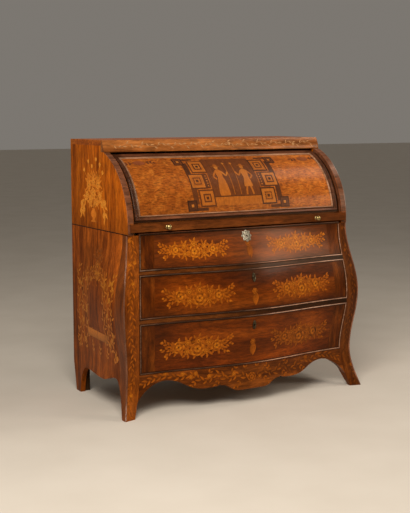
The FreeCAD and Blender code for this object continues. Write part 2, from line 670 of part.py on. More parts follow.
KNOB_BALL_SHARES = ((0.85, 0.2), (1, 0.5), (0.8, 0.82), (0.4, 1))
KNOB = [("0", "0"), ("knob_collar", "0"), ("knob_collar", "knob_collar_wall"),
        ("knob_neck", "knob_collar_wall"), ("knob_neck", "knob_neck_long")]
KNOB += [(f"knob_radius * {round_share}",
          f"knob_neck_long + ( knob_long - knob_neck_long ) * {out_share}")
         for round_share, out_share in KNOB_BALL_SHARES]
KNOB.append(("0", "knob_long"))
for side_name, knob_place in (("left", "knob_inset - half_width"), ("right", "half_width - knob_inset")):
    turned(f"slide_knob_{side_name}", KNOB,
           (knob_place, f"{FRONT} + slide_rail_front", f"{SLIDE_TOP} - slide_rail_tall / 2"))


# The three drawers of the chest
def plate_shape(half_wide, half_tall, height, lobes, lobe_share):
    """A flat plate's outline, plain or lobed, right through the front of the desk."""
    ahead = front_y - size["bow_belly"] - size["overrun"]
    points = []
    for step in range(PLATE_STEP_COUNT):
        turn = 2 * math.pi * step / PLATE_STEP_COUNT
        stretch = 1 - lobe_share + lobe_share * math.cos(lobes * turn)
        points.append(Vector(half_wide * stretch * math.sin(turn), ahead,
                             height + half_tall * stretch * math.cos(turn)))
    curve = Part.BSplineCurve()
    curve.interpolate(points, True)
    return outline([curve.toShape()], Vector(0, size["bow_belly"] + size["overrun"] * 3, 0))


def keyhole(height):
    ahead = Vector(0, front_y - size["bow_belly"] - size["overrun"], height)
    depth = size["bow_belly"] + size["overrun"] * 3
    eye = Part.makeCylinder(size["key_round"], depth, ahead, Vector(0, 1, 0))
    corner = ahead - Vector(size["key_slot_wide"] / 2, 0, size["key_slot_drop"])
    return eye.fuse(Part.makeBox(size["key_slot_wide"], depth, size["key_slot_drop"], corner))


ROSETTE_LOBE_COUNT = 8
ROSETTE_LOBE_SHARE = 0.08
PLATE_STEP_COUNT = ROSETTE_LOBE_COUNT * 8
PLATES = {"one": (size["rosette_half_wide"], size["rosette_half_tall"], ROSETTE_LOBE_COUNT,
                  ROSETTE_LOBE_SHARE),
          "two": (size["plate_half_wide"], size["plate_half_tall"], 0, 0),
          "three": (size["plate_half_wide"], size["plate_half_tall"], 0, 0)}


def drawer(number):
    floor = drawer_floor[number] + size["reveal"]
    top = drawer_top[number] - size["reveal"]
    key_height = drawer_top[number] - size[f"key_{number}_drop"]
    bead = size["bead_wide"]
    proud = size["bead_proud"]
    label = f"drawer_{number}"

    def end(height):
        return edge_half(height) - size["reveal"]

    def minus_end(height):
        return -end(height)

    hole = keyhole(key_height)
    front = skin(minus_end, end, floor, top, 0, size["front_wall"])
    shaped(f"{label}_front", front.cut(hole))
    bed = proud - size["running_gap"]
    beads = [skin(minus_end, end, floor, floor + bead, proud, bed),
             skin(minus_end, end, top - bead, top, proud, bed),
             skin(minus_end, lambda height: bead - end(height), floor + bead, top - bead, proud, bed),
             skin(lambda height: end(height) - bead, end, floor + bead, top - bead, proud, bed)]
    shaped(f"{label}_bead", Part.makeCompound(beads))
    wall = size["plate_wall"]
    plate = skin(minus_end, end, floor, top, wall + size["running_gap"], wall)
    half_wide, half_tall, lobes, lobe_share = PLATES[number]
    plate = plate.common(plate_shape(half_wide, half_tall, key_height, lobes, lobe_share))
    shaped(f"{label}_escutcheon", plate.cut(hole))

    # the box behind the front, cut to the curve of its back
    space = shaped(f"{label}_space", front_space(floor, top, size["front_wall"] + size["running_gap"]))
    rise = f"{DRAWER_FLOOR[number]} + drawer_rise"
    headroom = "chest_top_headroom" if number == "one" else "drawer_headroom"
    depth = (f"{FRONT} - bow_belly", f"{REAR} - drawer_back_gap")
    tall = (rise, f"{DRAWER_TOP[number]} - {headroom}")
    sides = [cut(f"{piece.Label}_side", piece, space) for piece in mirrored_boards(
        f"{label}_side", f"{DRAWER_HALF} - drawer_wall", DRAWER_HALF, depth, tall)]
    inner = (f"drawer_wall - ( {DRAWER_HALF} )", f"{DRAWER_HALF} - drawer_wall")
    back = board(f"{label}_back", inner, (f"{depth[1]} - drawer_wall", depth[1]), tall)
    group(f"{label}_box", sides + [back])
    bottom = board(f"{label}_bottom_board", inner, (depth[0], f"{depth[1]} - drawer_wall"),
                   (f"{rise} + drawer_bottom_rise", f"{rise} + drawer_bottom_rise + drawer_bottom_wall"))
    cut(f"{label}_bottom", bottom, space)

    # the lock on the back of the front, with a bolt that shoots upwards
    lock_back = bow_y(0, top) + size["front_wall"] + size["lock_depth"]
    bolt_back = lock_back - size["bolt_cover"]
    case = Part.makeBox(2 * size["lock_half_wide"], size["bow_belly"], size["lock_tall"],
                        Vector(-size["lock_half_wide"], lock_back - size["bow_belly"],
                               top - size["lock_tall"]))
    play = size["running_gap"]

    def bolt_space(gap, floor_height, tall_space):
        return Part.makeBox(2 * (size["bolt_half_wide"] + gap), size["bolt_thick"] + 2 * gap, tall_space,
                            Vector(-size["bolt_half_wide"] - gap,
                                   bolt_back - size["bolt_thick"] - gap, floor_height))

    bolt_foot = top - size["bolt_tall"]
    pocket = bolt_space(play, bolt_foot - play, size["bolt_tall"] + size["overrun"])
    shaped(f"{label}_lock", case.cut(space.Shape).cut(pocket))
    shaped(f"{label}_bolt", bolt_space(0, bolt_foot, size["bolt_tall"]))


for number in DRAWERS:
    drawer(number)

# Pigeonholes fixed to the back, over three small drawers
NEST_DEPTH = (NEST_FRONT, REAR)
NEST_HALF = f"{QUADRANT_INNER} - nest_gap"
NEST_SPAN = (f"-1 * ( {NEST_HALF} )", NEST_HALF)
NEST_INNER = f"{NEST_HALF} - nest_wall"
NEST_FOOT = f"{SLIDE_TOP} + nest_lift"
NEST_TOP = f"{NEST_FOOT} + nest_tall"
SHELF_TOP = f"{NEST_FOOT} + nest_shelf_rise"
SHELF_FOOT = f"{SHELF_TOP} - nest_wall"
NEST_FLOOR = f"{NEST_FOOT} + nest_wall"
NEST_CEILING = f"{NEST_TOP} - nest_wall"
board("nest_base", NEST_SPAN, NEST_DEPTH, (NEST_FOOT, NEST_FLOOR))
board("nest_shelf", (f"-1 * ( {NEST_INNER} )", NEST_INNER), NEST_DEPTH,
      (SHELF_FOOT, SHELF_TOP))
board("nest_top", NEST_SPAN, NEST_DEPTH, (NEST_CEILING, NEST_TOP))
group("nest_ends", mirrored_boards("nest_end", NEST_INNER, NEST_HALF, NEST_DEPTH,
                                   (NEST_FLOOR, NEST_CEILING)))
partitions = mirrored_boards("nest_partition", "nest_bay_half", "nest_bay_half + nest_wall",
                             NEST_DEPTH, (NEST_FLOOR, SHELF_FOOT))
PIGEONHOLE_COUNT = 8
for step in range(1, PIGEONHOLE_COUNT):
    middle = f"( {step} / {PIGEONHOLE_COUNT} * 2 - 1 ) * ( {NEST_INNER} )"
    partitions.append(board(f"pigeonhole_divider_{step}",
                            (f"{middle} - nest_wall / 2", f"{middle} + nest_wall / 2"), NEST_DEPTH,
                            (SHELF_TOP, NEST_CEILING)))
group("nest_partitions", partitions)

SMALL_KNOB = [("0", "0"), ("small_knob_neck", "0"), ("small_knob_neck", "small_knob_neck_long"),
              ("small_knob_radius", "( small_knob_neck_long + small_knob_long ) / 2"),
              ("small_knob_neck", "small_knob_long"), ("0", "small_knob_long")]
BAYS = {"left": (f"-1 * ( {NEST_INNER} )", "-1 * ( nest_bay_half + nest_wall )"),
        "middle": ("-1 * nest_bay_half", "nest_bay_half"),
        "right": ("nest_bay_half + nest_wall", NEST_INNER)}
for bay, (low, high) in BAYS.items():
    label = f"small_drawer_{bay}"
    left = f"{low} + reveal"
    right = f"{high} - reveal"
    foot = f"{NEST_FLOOR} + running_gap"
    head = f"{SHELF_FOOT} - reveal"
    face = f"{NEST_DEPTH[0]} + small_front_wall"
    rear = f"{REAR} - small_back_gap"
    tray = (f"{left} + small_wall", f"{right} - small_wall")
    pieces = [
        board(label + "_front", (left, right), (NEST_DEPTH[0], face), (foot, head)),
        board(label + "_near_side", (left, tray[0]), (face, rear), (foot, head)),
        board(label + "_far_side", (tray[1], right), (face, rear), (foot, head)),
        board(label + "_back", tray, (f"{rear} - small_wall", rear), (foot, head)),
        board(label + "_bottom", tray, (face, f"{rear} - small_wall"), (foot, f"{foot} + small_wall")),
        turned(label + "_knob", SMALL_KNOB,
               (f"( {low} + {high} ) / 2", NEST_DEPTH[0], f"( {foot} + {head} ) / 2"))]
    group(label, pieces)

# Every sub-part is checked before any is written.
doc.recompute()
NODES = [
    "lower_side_left", "lower_side_right", "front_post_left", "front_post_right", "rear_feet",
    "lower_back", "bottom_board", "apron", "upper_drawer_rail", "lower_drawer_rail", "chest_top",
    "drawer_runners", "upper_side_left", "upper_side_right", "fascia", "top_board", "upper_back",
    "slide_bearers", "cylinder_pivots", "nest_base", "nest_shelf", "nest_top", "nest_ends",
    "nest_partitions", "slide_board", "slide_rail", "writing_leather", "slide_knob_left",
    "slide_knob_right", "slide_link_plates", "cylinder_shell", "cylinder_quadrant_left",
    "cylinder_quadrant_right", "cylinder_cranks", "cylinder_moulding"]
for number in DRAWERS:
    NODES += [f"drawer_{number}_{piece}" for piece in
              ("front", "box", "bottom", "bead", "escutcheon", "lock", "bolt")]
NODES += [f"small_drawer_{bay}" for bay in BAYS]

for item in doc.Objects:
    if "Invalid" in item.State or "Error" in item.State:
        raise RuntimeError(f"{item.Label} failed: {item.State}")
pieces = {label: doc.getObjectsByLabel(label)[0] for label in NODES}
for label, item in pieces.items():
    if item.Shape.isNull() or not item.Shape.isValid():
        raise RuntimeError(f"{label} has no valid shape")

os.makedirs("parts", exist_ok=True)
for label, item in pieces.items():
    item.Shape.exportStep(f"parts/{label}.step")
    print(label, len(item.Shape.Solids), "solids", round(item.Shape.Volume / 1000), "cm3")
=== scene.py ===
import math
import random
import bpy
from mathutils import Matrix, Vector
from mathutils.bvhtree import BVHTree


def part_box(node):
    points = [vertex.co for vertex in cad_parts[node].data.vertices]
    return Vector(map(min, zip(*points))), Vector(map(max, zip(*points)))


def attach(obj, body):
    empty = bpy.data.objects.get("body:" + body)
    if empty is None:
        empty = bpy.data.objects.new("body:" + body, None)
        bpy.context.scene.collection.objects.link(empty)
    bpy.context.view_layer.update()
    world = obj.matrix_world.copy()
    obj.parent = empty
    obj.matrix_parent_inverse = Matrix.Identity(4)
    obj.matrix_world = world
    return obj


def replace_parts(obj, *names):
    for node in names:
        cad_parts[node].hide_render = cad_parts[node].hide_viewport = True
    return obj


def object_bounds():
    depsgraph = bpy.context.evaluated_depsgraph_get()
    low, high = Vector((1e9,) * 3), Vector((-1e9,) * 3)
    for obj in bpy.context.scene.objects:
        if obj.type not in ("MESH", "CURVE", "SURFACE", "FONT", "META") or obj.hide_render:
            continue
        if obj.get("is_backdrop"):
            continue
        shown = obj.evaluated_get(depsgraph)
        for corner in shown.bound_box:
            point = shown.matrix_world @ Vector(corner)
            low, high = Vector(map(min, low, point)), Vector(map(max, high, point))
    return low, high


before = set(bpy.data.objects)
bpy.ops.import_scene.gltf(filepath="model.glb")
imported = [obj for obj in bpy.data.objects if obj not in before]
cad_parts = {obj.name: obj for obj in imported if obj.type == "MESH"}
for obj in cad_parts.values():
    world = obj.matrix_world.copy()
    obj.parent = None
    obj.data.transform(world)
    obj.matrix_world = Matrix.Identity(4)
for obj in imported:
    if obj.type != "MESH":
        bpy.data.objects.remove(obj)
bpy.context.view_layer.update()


# Chest sides: oak boards with a shaped foot edge, veneered with upright walnut and
# polished with shellac. They are glued to the front posts and nailed to the back.
class Finish:
    """A material built up from noise that is stretched along the grain."""

    WARM_TINT = (1.0, 0.6, 0.3, 1.0)
    COAT_ROUGHNESS = 0.15
    BUMP_STRENGTH = 0.6
    FIRST_COLOUR, SECOND_COLOUR, MIXED_COLOUR = 6, 7, 2

    def __init__(self, name, roughness, coat=0.0, metallic=0.0, shine=0.15):
        self.material = bpy.data.materials.new(name)
        self.material.use_nodes = True
        self.tree = self.material.node_tree
        self.shader = self.tree.nodes["Principled BSDF"]
        self.shader.inputs["Roughness"].default_value = roughness
        self.shader.inputs["Coat Weight"].default_value = coat
        self.shader.inputs["Coat Roughness"].default_value = self.COAT_ROUGHNESS
        self.shader.inputs["Specular IOR Level"].default_value = shine
        self.shader.inputs["Specular Tint"].default_value = self.WARM_TINT
        self.shader.inputs["Metallic"].default_value = metallic
        places = self.add("ShaderNodeTexCoord").outputs
        self.place = places["Object"]
        self.spread = places["Generated"]

    def add(self, kind, **settings):
        node = self.tree.nodes.new(kind)
        for key, value in settings.items():
            setattr(node, key, value)
        return node

    def feed(self, socket, value):
        """A value set on a socket, or a link made to it."""
        if isinstance(value, bpy.types.NodeSocket):
            self.tree.links.new(value, socket)
        else:
            socket.default_value = value

    def parts(self, place):
        """The X, Y and Z of a place."""
        node = self.add("ShaderNodeSeparateXYZ")
        self.feed(node.inputs["Vector"], place)
        return node.outputs

    def noise(self, stretch, detail=4.0, distortion=0.0, place=None):
        spot = self.add("ShaderNodeMapping")
        self.feed(spot.inputs["Vector"], place or self.place)
        spot.inputs["Scale"].default_value = stretch
        node = self.add("ShaderNodeTexNoise")
        self.feed(node.inputs["Vector"], spot.outputs["Vector"])
        node.inputs["Scale"].default_value = 1.0
        node.inputs["Detail"].default_value = detail
        node.inputs["Distortion"].default_value = distortion
        return node.outputs["Fac"]

    def ramp(self, value, *stops):
        """A run of colours or of greys over a value."""
        node = self.add("ShaderNodeValToRGB")
        bar = node.color_ramp
        while len(bar.elements) < len(stops):
            bar.elements.new(1.0)
        for element, (spot, colour) in zip(bar.elements, stops):
            element.position = spot
            shade = colour if isinstance(colour, tuple) else (colour,) * 3
            element.color = (*shade, 1.0)
        self.feed(node.inputs["Fac"], value)
        return node.outputs["Color"]

    def shaded(self, share, colour, value, *stops):
        """A colour made darker and lighter by a run of greys over a value."""
        greys = self.ramp(value, *stops)
        node = self.add("ShaderNodeMix", data_type="RGBA", blend_type="MULTIPLY")
        self.feed(node.inputs["Factor"], share)
        self.feed(node.inputs[self.FIRST_COLOUR], colour)
        self.feed(node.inputs[self.SECOND_COLOUR], greys)
        return node.outputs[self.MIXED_COLOUR]

    def raised(self, height, distance):
        node = self.add("ShaderNodeBump")
        node.inputs["Strength"].default_value = self.BUMP_STRENGTH
        node.inputs["Distance"].default_value = distance
        self.feed(node.inputs["Height"], height)
        self.feed(self.shader.inputs["Normal"], node.outputs["Normal"])

    def done(self, colour):
        self.feed(self.shader.inputs["Base Color"], colour)
        return self.material


GRAIN = {"x": (0.07, 1.0, 1.0), "y": (1.0, 0.07, 1.0), "z": (1.0, 1.0, 0.07)}
STREAKS = 90.0
FIBRES = 300.0
PORES = 900.0
PORE_DEPTH = 0.0002


def timber(name, dark, mid, light, grain, figure=14.0, wander=0.8, coat=0.04, roughness=0.36,
           glow=(), shine=0.15):
    """A polished veneer: broad figure, streaks along the grain, dark pores and worn paler parts."""
    finish = Finish(name, roughness, coat, 0.0, shine)
    along = GRAIN[grain]
    broad = finish.noise([figure * part for part in along], 5.0, wander)
    streaks = finish.noise([STREAKS * part ** 0.6 for part in along], 4.0, 0.5)
    fibres = finish.noise([FIBRES * part for part in along], 3.0, 0.2)
    pores = finish.noise([PORES * part for part in along], 2.0)
    cloud = finish.noise((5.0, 5.0, 5.0), 2.0, 0.4)
    colour = finish.ramp(broad, (0.3, dark), (0.5, mid), (0.7, light))
    colour = finish.shaded(0.8, colour, streaks, (0.34, 0.55), (0.62, 1.2))
    colour = finish.shaded(0.7, colour, fibres, (0.32, 0.55), (0.68, 1.2))
    colour = finish.shaded(0.55, colour, pores, (0.36, 0.4), (0.45, 1.0))
    colour = finish.shaded(0.7, colour, cloud, (0.3, 0.66), (0.7, 1.22))
    for axis, stops in glow:
        colour = finish.shaded(1.0, colour, finish.parts(finish.spread)[axis], *stops)
    finish.raised(pores, PORE_DEPTH)
    return finish.done(colour)


def covered(node, material, slot):
    """A board from the frame, given its finish."""
    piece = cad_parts[node]
    piece.data.materials.clear()
    piece.data.materials.append(material)


CREASE = 0.7


def made(name, spots, faces, material, body, lies=None, tones=None):
    """A mesh piece that rides on one body, with its grain and tone kept as texture places."""
    mesh = bpy.data.meshes.new(name)
    mesh.from_pydata(spots, [], faces)
    for layer, values in (("lie", lies), ("tone", tones)):
        if values:
            spread = mesh.uv_layers.new(name=layer)
            for corner in mesh.loops:
                spread.data[corner.index].uv = values[corner.vertex_index]
    mesh.polygons.foreach_set("use_smooth", [True] * len(mesh.polygons))
    mesh.set_sharp_from_angle(angle=CREASE)
    mesh.materials.append(material)
    piece = bpy.data.objects.new(name, mesh)
    bpy.context.scene.collection.objects.link(piece)
    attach(piece, body)
    return piece


def facets(rows, across, start=0, ringed=False):
    """The faces between rows of points; ringed rows close on themselves."""
    faces = []
    for row in range(rows - 1):
        first = start + row * across
        for k in range(across if ringed else across - 1):
            a, b = first + k, first + (k + 1) % across
            faces.append((a, b, b + across, a + across))
    return faces


class Face:
    """One face of a board, looked at along an axis: gives spots on it and the way out."""

    SIGHT = 2.0
    BELLY = 0.28
    BEYOND = 0.7

    def __init__(self, node, axis, sign):
        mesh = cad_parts[node].data
        corners = [vertex.co for vertex in mesh.vertices]
        self.tree = BVHTree.FromPolygons(corners, [polygon.vertices[:] for polygon in mesh.polygons])
        self.axis = axis
        self.aim = Vector((0.0, -sign, 0.0)) if axis == "y" else Vector((-sign, 0.0, 0.0))

    def level(self, across, up):
        return Vector((across, 0.0, up)) if self.axis == "y" else Vector((0.0, across, up))

    def struck(self, across, up):
        """What a straight look at the face meets."""
        return self.tree.ray_cast(self.level(across, up) - self.aim * self.SIGHT, self.aim)

    def __call__(self, across, up):
        spot, normal, *_ = self.struck(across, up)
        if spot is None:
            spot, normal, *_ = self.tree.find_nearest(self.level(across, up) - self.aim * self.BELLY)
        return spot, normal if normal.dot(self.aim) < 0.0 else -normal

    def end(self, up, inside=0.0, outside=BEYOND):
        """How far the face reaches sideways at one height, found by halving."""
        for _ in range(22):
            middle = (inside + outside) / 2
            if self.struck(middle, up)[0] is None:
                outside = middle
            else:
                inside = middle
        return inside


class Inlay:
    """Pieces of veneer drawn flat, then laid on a face: thin strips with their own tone."""

    PROUD = 0.00025
    LAYER = 0.00006
    STAGGER = 0.000008
    UNVEINED = 0.46
    TONE_CHANCE = 0.06

    def __init__(self, seed):
        self.chance = random.Random(seed)
        self.strips = []

    def strip(self, rows, tone, layer=0, veined=True):
        spread = 1.0 if veined else self.UNVEINED
        tint = tone + self.chance.uniform(-self.TONE_CHANCE, self.TONE_CHANCE)
        self.strips.append((rows, tint, layer, spread))

    def laid(self, name, place, material, body, proud=PROUD):
        spots, faces, lies, tones = [], [], [], []
        for order, (rows, tone, layer, spread) in enumerate(self.strips):
            start = len(spots)
            across = len(rows[0])
            rise = proud + layer * self.LAYER + order % 7 * self.STAGGER
            normals = []
            for i, row in enumerate(rows):
                for j, point in enumerate(row):
                    spot, normal = place(*point)
                    spots.append(spot + normal * rise)
                    normals.append(normal)
                    lies.append((i / (len(rows) - 1), j / (across - 1) * spread))
                    tones.append((tone, 0.0))
            for face in facets(len(rows), across, start):
                a, b, c, d = (spots[corner] for corner in face)
                turn = (b - a).cross(c - a) + (c - a).cross(d - a)
                faces.append(face if turn.dot(normals[face[0] - start]) >= 0.0 else face[::-1])
        return made(name, spots, faces, material, body, lies, tones)


def marquetry(name, scorched, *stops):
    """Cut veneers, tinted from dark to pale, scorched in hot sand along one edge."""
    finish = Finish(name, 0.4, 0.04)
    lie = finish.add("ShaderNodeUVMap", uv_map="lie").outputs["UV"]
    tone = finish.add("ShaderNodeUVMap", uv_map="tone").outputs["UV"]
    ways = finish.parts(lie)
    grain = finish.noise((3.0, 26.0, 1.0), 3.0, 0.6, lie)
    patina = finish.noise((60.0, 60.0, 60.0), 4.0)
    colour = finish.ramp(finish.parts(tone)["X"], *stops)
    colour = finish.shaded(scorched, colour, ways["Y"], (0.0, 0.42), (0.34, 0.95), (0.47, 1.0), (0.5, 0.62),
                           (0.53, 1.0), (0.9, 1.05), (1.0, 0.75))
    colour = finish.shaded(scorched, colour, ways["X"], (0.0, 0.5), (0.45, 1.0), (1.0, 1.1))
    colour = finish.shaded(0.7, colour, grain, (0.3, 0.72), (0.65, 1.1))
    colour = finish.shaded(0.6, colour, patina, (0.3, 0.7), (0.65, 1.08))
    return finish.done(colour)


def oblong(across, up, columns, rows):
    """Points of a flat oblong, row above row; each way runs from its first value to its last."""
    left, right = across
    foot, head = up
    return [[Vector((left + (right - left) * j / columns, foot + (head - foot) * i / rows))
             for j in range(columns + 1)] for i in range(rows + 1)]


def turned_way(angle):
    return Vector((math.cos(angle), math.sin(angle)))


LEAF_OUTLINE = (6, 0.75, 0.9, 1.0)
PETAL_OUTLINE = (7, 1.5, 0.55, 0.93)


def leaf(work, root, angle, length, width, bend=0.0, tone=0.5, layer=1, petal=False):
    """One pointed leaf, or a round-ended petal, curving from its root."""
    steps, blunt, full, crop = PETAL_OUTLINE if petal else LEAF_OUTLINE
    rows = []
    spot = Vector(root)
    for step in range(steps + 1):
        share = step / steps
        way = angle + bend * share
        half = width * (0.04 + math.sin(math.pi * (share * crop) ** blunt) ** full) / 2
        side = turned_way(way + math.pi / 2) * half
        rows.append([spot - side, spot, spot + side])
        spot = spot + turned_way(way) * length / steps
    work.strip(rows, tone, layer, not petal)


def curve(points, count):
    """A smooth line through the points."""
    points = [Vector(point) for point in points]
    full = [2 * points[0] - points[1], *points, 2 * points[-1] - points[-2]]
    shadow_line = []
    for k in range(count + 1):
        spot = k / count * (len(points) - 1)
        i = min(int(spot), len(points) - 2)
        t = spot - i
        a, b, c, d = full[i:i + 4]
        shadow_line.append(0.5 * (2 * b + (c - a) * t + (2 * a - 5 * b + 4 * c - d) * t * t
                           + (3 * b - a - 3 * c + d) * t ** 3))
    return shadow_line


def ribbon(work, shadow_line, width, tone, layer=0):
    """A narrow strip along a line, for stems and stringing."""
    rows = []
    for i, spot in enumerate(shadow_line):
        way = shadow_line[min(i + 1, len(shadow_line) - 1)] - shadow_line[max(i - 1, 0)]
        side = Vector((-way.y, way.x)).normalized() * width / 2
        rows.append([spot - side, spot + side])
    work.strip(rows, tone, layer)


def button(work, middle, radius, tone, layer=4, sides=12):
    """A round of veneer, pierced by a pinhole at its middle."""
    ring = [turned_way(math.tau * k / sides) for k in range(sides + 1)]
    work.strip([[middle + way * radius * 0.04 for way in ring], [middle + way * radius for way in ring]],
               tone, layer)


PETAL_RINGS = ((1.0, 0.02), (0.72, -0.12), (0.45, 0.1))


def bloom(work, middle, radius, petals, tone, turn=0.0):
    """A full-blown flower: rings of round petals over a darker round, with a small dark heart."""
    middle = Vector(middle)
    button(work, middle, radius * 0.96, tone - 0.24, 2, 18)
    for ring, (share, lighter) in enumerate(PETAL_RINGS):
        count = petals - ring
        for k in range(count):
            way = turn + (k + 0.5 * ring) * math.tau / count
            leaf(work, middle + turned_way(way) * radius * 0.08, way - 0.12, radius * share * 0.92,
                 radius * share * 5.6 / count, 0.24, tone + lighter, 3 + ring, petal=True)
    button(work, middle, radius * 0.12, 0.2, 6)


STALK_WIDE = 0.0016
STEM_WIDE = 0.0018


def sprig(work, root, angle, length, width, tone):
    """A short stalk with a leaf at its tip and two pairs of leaves along it."""
    root = Vector(root)
    shadow_line = curve([root, root + turned_way(angle + 0.2) * length * 0.5,
                  root + turned_way(angle) * length * 0.8], 8)
    ribbon(work, shadow_line, STALK_WIDE, tone - 0.1)
    leaf(work, shadow_line[-1], angle, length * 0.28, width, 0.0, tone)
    for spot in (shadow_line[2], shadow_line[5]):
        for hand in (-1, 1):
            leaf(work, spot, angle + hand * 0.85, length * 0.3, width * 0.85, -hand * 0.5, tone)


def vine(work, shadow_line, spacing, length, width, tone, blooms=0.0):
    """A running stem with leaves on alternate sides, and by chance a small flower."""
    ribbon(work, shadow_line, STEM_WIDE, tone - 0.12)
    gone, hand = 0.0, 1
    for a, b in zip(shadow_line, shadow_line[1:]):
        gone += (b - a).length
        if gone < spacing:
            continue
        gone, hand = 0.0, -hand
        way = math.atan2(b.y - a.y, b.x - a.x)
        leaf(work, a, way + hand * 0.8, length * work.chance.uniform(0.85, 1.15), width, -hand * 0.7, tone)
        if work.chance.random() < blooms:
            spot = a + turned_way(way - hand * 0.9) * length * 0.45
            bloom(work, spot, length * 0.36, 6, tone + 0.1, work.chance.uniform(0, 1))


HANDS = (("left", -1), ("right", 1))
UNDERLAY = 0.00012
NICHE_MIDDLE = 0.035
NICHE_HALF = 0.075
NICHE_FOOT = 0.312
NICHE_SHOULDER = 0.17
NICHE_ARCH = 0.05
SHELF_ENDS = (-0.09, 0.15)
SHELF_LEVELS = (0.272, 0.306)
GARLAND_STEMS = ((-0.14, 0.19, 0.56), (-0.102, 0.23, 0.53), (-0.062, 0.25, 0.55), (0.15, 0.25, 0.55),
                 (0.195, 0.22, 0.52), (0.24, 0.19, 0.56))
STEM_SWAY = 0.012
HOOD = ((0.1, 0.465), (0.07, 0.52), (0.0, 0.54))
HOOD_RISES = (0.0, 0.028)
CREST_LEVELS = (0.578, 0.588)
cut_veneers = marquetry("cut_veneers", 0.8, (0.0, (0.03, 0.007, 0.001)), (0.25, (0.13, 0.03, 0.002)),
                        (0.5, (0.36, 0.085, 0.004)), (0.75, (0.64, 0.2, 0.01)), (1.0, (0.86, 0.36, 0.03)))
# The chest sides are darker towards the foot as painted shade and lighter towards the front as a painted
# sheen.
side_veneer = timber("chest_side_veneer", (0.13, 0.025, 0.002), (0.28, 0.061, 0.005), (0.43, 0.103, 0.009),
                     "z", figure=26.0, shine=0.04,
                     glow=(("Z", ((0.0, 0.7), (0.3, 0.88), (0.6, 1.02), (1.0, 1.12))),
                           ("Y", ((0.0, 1.25), (0.2, 1.15), (0.7, 1.1), (1.0, 0.92)))))
niche_veneer = timber("niche_veneer", (0.13, 0.025, 0.002), (0.25, 0.052, 0.004), (0.37, 0.084, 0.007),
                      "z", figure=34.0, shine=0.04)
for hand, sign in HANDS:
    covered(f"lower_side_{hand}", side_veneer, "walnut")
    face = Face(f"lower_side_{hand}", "x", sign)
    niche = Inlay(3)
    heads = [NICHE_SHOULDER + NICHE_ARCH * math.sin(math.pi * j / 8) ** 0.6 for j in range(9)]
    niche.strip([[Vector((NICHE_MIDDLE + NICHE_HALF * (j / 4 - 1.0), NICHE_FOOT + heads[j] * i / 10))
                  for j in range(9)] for i in range(11)], 0.5)
    niche.laid(f"side_niche_{hand}", face, niche_veneer, "case", UNDERLAY)
    garland = Inlay(11)
    garland.strip(oblong(SHELF_ENDS, SHELF_LEVELS, 8, 3), 0.66)
    for y, foot, head in GARLAND_STEMS:
        stem = curve([(y + STEM_SWAY * (-1) ** k, foot + (head - foot) * k / 9) for k in range(10)], 90)
        vine(garland, stem, spacing=0.0115, length=0.026, width=0.0085, tone=0.66, blooms=0.1)
    for k in range(6):
        sprig(garland, (-0.12 + 0.07 * k, 0.195), 2.2 - 0.25 * k, length=0.06, width=0.009, tone=0.68)
    for hook in (-1, 1):
        for rise in HOOD_RISES:
            arch = curve([(NICHE_MIDDLE + hook * y, up + rise) for y, up in HOOD], 40)
            vine(garland, arch, spacing=0.0105, length=0.029, width=0.0095, tone=0.58, blooms=0.2)
    bloom(garland, (NICHE_MIDDLE, CREST_LEVELS[0]), radius=0.022, petals=6, tone=0.54, turn=0.4)
    for k in range(-2, 3):
        sprig(garland, (NICHE_MIDDLE, CREST_LEVELS[1]), math.pi / 2 + k * 0.5,
              length=0.08 - 0.012 * abs(k), width=0.012, tone=0.44)
    garland.laid(f"side_garland_{hand}", face, cut_veneers, "case")


# Front posts: bombe stiles that swell at the belly and end in splayed feet, sawn from
# solid walnut, glued to the sides, with the drawer rails tenoned into them.
POST_MIDDLES = ((0.722, 0.5135), (0.66, 0.518), (0.58, 0.53), (0.5, 0.542), (0.43, 0.545), (0.35, 0.541),
                (0.27, 0.533), (0.2, 0.527), (0.15, 0.53), (0.1, 0.545), (0.05, 0.558), (0.004, 0.563))
VINE_SWAY = 0.006
POST_BEAD = 0.0036
POST_BEAD_INSET = 0.0015
POST_BEAD_SUNK = 0.0012
# The right post's veneer is a darker copy of the left's: painted shade on the side away from the key light.
post_veneers = {
    "left": timber("left_post_veneer", (0.12, 0.024, 0.002), (0.25, 0.058, 0.005), (0.4, 0.105, 0.012),
                   "z", figure=16.0),
    "right": timber("right_post_shaded_veneer", (0.046, 0.009, 0.001), (0.1, 0.022, 0.002), (0.17, 0.044, 0.005),
                    "z", figure=16.0)}
# A paler, glossier wood painted as the highlight along rounded arrises: the posts' beads and the upper sides'
# rims.
arris_highlight_wood = timber("arris_highlight_wood", (0.12, 0.042, 0.02), (0.22, 0.084, 0.042), (0.33, 0.145, 0.08),
                     "z", figure=30.0, coat=0.35, roughness=0.3)
for hand, sign in HANDS:
    covered(f"front_post_{hand}", post_veneers[hand], "walnut")
    stile = Inlay(5)
    stem = [Vector((sign * (out + VINE_SWAY * math.sin(k * 0.32)), up))
            for k, (up, out) in enumerate(curve(POST_MIDDLES, 130))]
    # The right post's vine is darker than the left's, as painted shade like its veneer.
    vine(stile, stem, spacing=0.0095, length=0.021, width=0.0065, tone=0.35 - 0.1 * sign, blooms=0.1)
    face = Face(f"front_post_{hand}", "y", -1)
    stile.laid(f"post_vine_{hand}", face, cut_veneers, "case")
    # The bead along each post's outer arris is laid in the paler wood as a painted highlight.
    spots = []
    levels = curve(POST_MIDDLES, 90)
    for up, middle in levels:
        edge = face.end(up, sign * middle, sign * Face.BEYOND)
        depth = face(edge - sign * 2.0 * POST_BEAD_INSET, up)[0].y
        for j in range(9):
            way = turned_way(math.tau * j / 8) * POST_BEAD
            spots.append(Vector((edge - sign * POST_BEAD_INSET + way.x, depth + POST_BEAD_SUNK + way.y, up)))
    made(f"post_bead_{hand}", spots, facets(len(levels), 9), arris_highlight_wood, "case")
